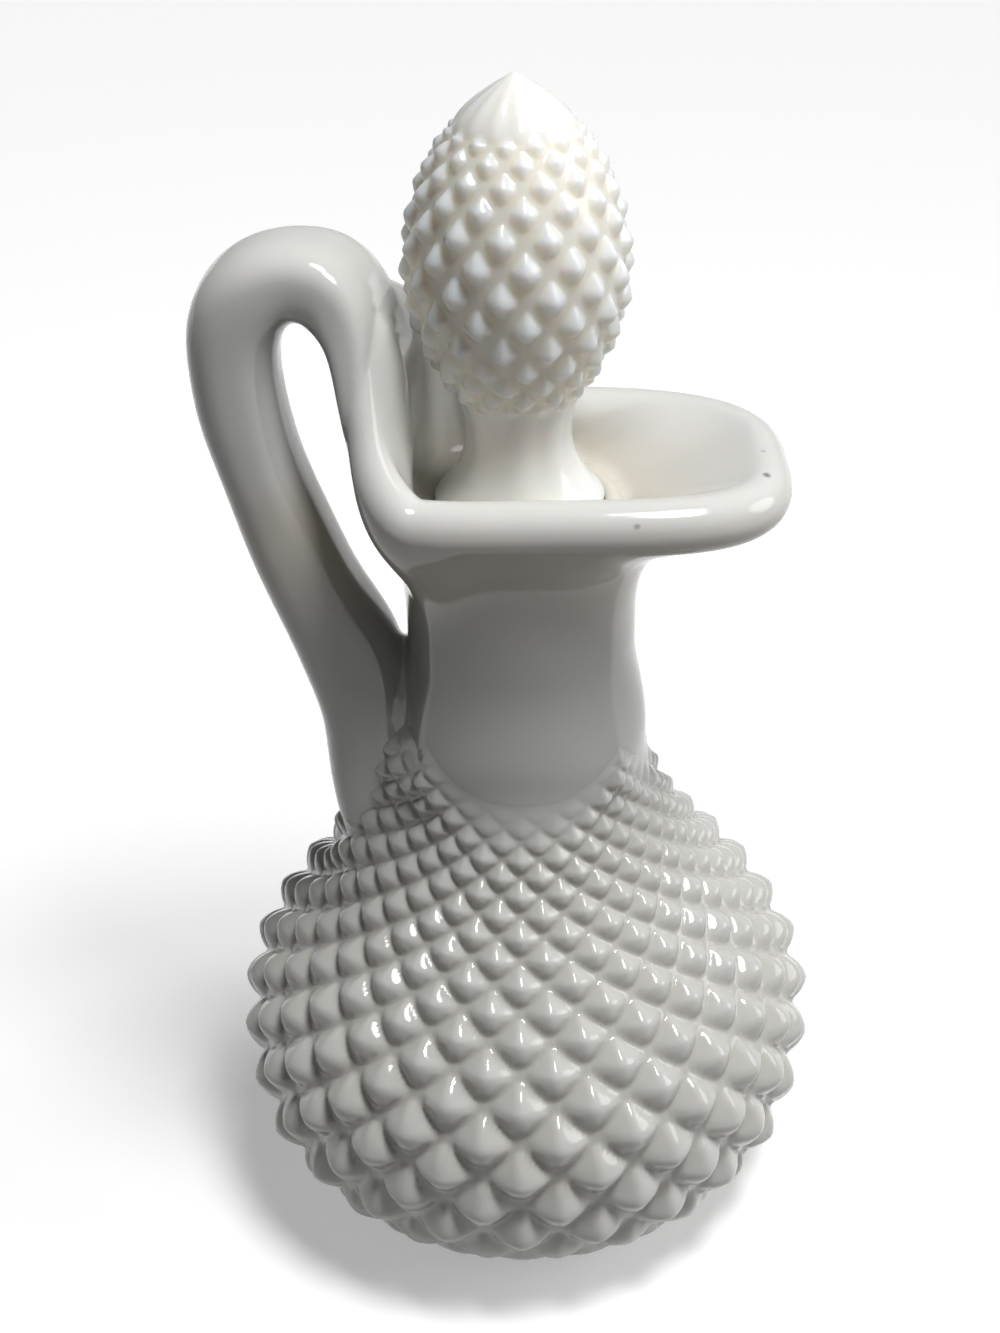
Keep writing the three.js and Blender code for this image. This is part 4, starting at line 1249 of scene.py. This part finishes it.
def floor_material(studio):
    """Pale matt floor. To the camera it is part paint, which keeps the shadow, and part plain
    light, which grows where the near lamp's pool of light ends. What it throws back onto the
    object falls off away from the middle, as on a small white table in a darker room."""
    tree, paint, place = new_material("floor")
    away = tree.nodes.new("ShaderNodeVectorMath")
    away.operation = "LENGTH"
    tree.links.new(place, away.inputs[0])
    far = smooth_ramp(tree, away.outputs["Value"], NEAR_FLOOR, FAR_FLOOR)
    seen = seen_directly(tree)
    thrown = blend(tree, far, studio.bounce, FAR_BOUNCE)
    tree.links.new(mix_colour(tree, seen, thrown, (*studio.floor, 1.0)), paint.inputs["Base Color"])
    paint.inputs["Roughness"].default_value = 0.9
    paint.inputs["Specular IOR Level"].default_value = 0.0
    paint.inputs["Emission Color"].default_value = (1.0, 1.0, 1.0, 1.0)
    veil = blend(tree, far, studio.veil, studio.far_veil)
    tree.links.new(math_node(tree, "MULTIPLY", seen, veil), paint.inputs["Emission Strength"])


def build_floor(studio):
    """Square floor round the foot of the object."""
    side = np.linspace(-FLOOR_REACH, FLOOR_REACH, 3)
    x, y = np.meshgrid(side, side)
    points = np.stack([x.ravel(), y.ravel(), np.zeros(9)], -1) / MM
    quads = np.array([[0, 1, 4, 3], [1, 2, 5, 4], [3, 4, 7, 6], [4, 5, 8, 7]])
    floor = link("floor", make_mesh("floor", points, quads, np.zeros((0, 3), int)))
    floor_material(studio)
    floor.data.materials.append(bpy.data.materials["floor"])


def light_room(scene, studio):
    """White surroundings: bright where the camera sees them, dimmer in mirrored rays, and faint as
    a light on things."""
    world = bpy.data.worlds.new("studio")
    world.use_nodes = True
    scene.world = world
    tree = world.node_tree
    sky = tree.nodes["Background"]
    sky.inputs["Color"].default_value = (1.0, 1.0, 1.0, 1.0)
    path = tree.nodes.new("ShaderNodeLightPath")
    plain = math_node(tree, "MULTIPLY", path.outputs["Is Camera Ray"], BACKDROP - studio.fill)
    mirrored = math_node(tree, "MULTIPLY", path.outputs["Is Glossy Ray"], studio.mirrored)
    brighter = math_node(tree, "MAXIMUM", plain, mirrored)
    tree.links.new(math_node(tree, "ADD", brighter, studio.fill), sky.inputs["Strength"])


def set_camera(scene):
    """Camera that stands to the object as the photo's one did."""
    camera = bpy.data.cameras.new("camera")
    holder = bpy.data.objects.new("camera", camera)
    scene.collection.objects.link(holder)
    scene.camera = holder
    camera.lens = FOCAL_PIXELS * SENSOR_MILLIMETRES / PICTURE_PIXELS
    camera.clip_start = 0.01
    camera.shift_x = -SHIFT_PIXELS / PICTURE_PIXELS
    back = CAMERA_DISTANCE * np.cos(CAMERA_SLANT)
    eye = (0.0, -back, AIM_HEIGHT + CAMERA_DISTANCE * np.sin(CAMERA_SLANT))
    look_down = Matrix.Rotation(np.pi / 2 - CAMERA_SLANT, 4, "X")
    holder.matrix_world = Matrix.Translation(eye) @ look_down @ Matrix.Rotation(CAMERA_ROLL, 4, "Z")


class CRUET_OT_studio(bpy.types.Operator):
    """Builds the pale floor, the soft lamps and the camera."""

    bl_idname = "cruet.studio"
    bl_label = "Studio"

    def execute(self, context):
        scene = context.scene
        studio = scene.cruet_studio
        build_floor(studio)
        light_room(scene, studio)
        far_lamp("top", TOP_PLACE, TOP_SPREAD, studio.top)
        near_lamp("near", NEAR_PLACE, NEAR_SIZE, studio.near)
        far_lamp("key", KEY_PLACE, KEY_SPREAD, studio.key)
        set_camera(scene)
        scene.view_settings.view_transform = "Standard"
        return {"FINISHED"}


class CRUET_PT_panel(bpy.types.Panel):
    """Lists the steps that build the cruet."""

    bl_idname = "CRUET_PT_panel"
    bl_label = "Hobnail cruet"
    bl_space_type = "VIEW_3D"
    bl_region_type = "UI"
    bl_category = "Cruet"

    def draw(self, context):
        column = self.layout.column()
        for group in (context.scene.cruet_shape, context.scene.cruet_look, context.scene.cruet_studio):
            for name in group.__annotations__:
                column.prop(group, name)
        for step in STEPS:
            column.operator(step.bl_idname)


STEPS = (CRUET_OT_finishes, CRUET_OT_bowl, CRUET_OT_neck_lip_handle, CRUET_OT_stopper, CRUET_OT_studio)
GROUPS = {"cruet_shape": CruetShape, "cruet_look": CruetLook, "cruet_studio": CruetStudio}


def register():
    """Adds the properties, the steps and the panel to the program."""
    for item in (*GROUPS.values(), *STEPS, CRUET_PT_panel):
        bpy.utils.register_class(item)
    for name, group in GROUPS.items():
        setattr(bpy.types.Scene, name, PointerProperty(type=group))


def unregister():
    """Takes them out again."""
    for name in GROUPS:
        delattr(bpy.types.Scene, name)
    for item in (CRUET_PT_panel, *reversed(STEPS), *GROUPS.values()):
        bpy.utils.unregister_class(item)


def main():
    """Builds the whole cruet with its studio."""
    register()
    bpy.ops.cruet.finishes()
    bpy.ops.cruet.bowl()
    bpy.ops.cruet.neck_lip_handle()
    bpy.ops.cruet.stopper()
    bpy.ops.cruet.studio()


if __name__ == "__main__":
    main()
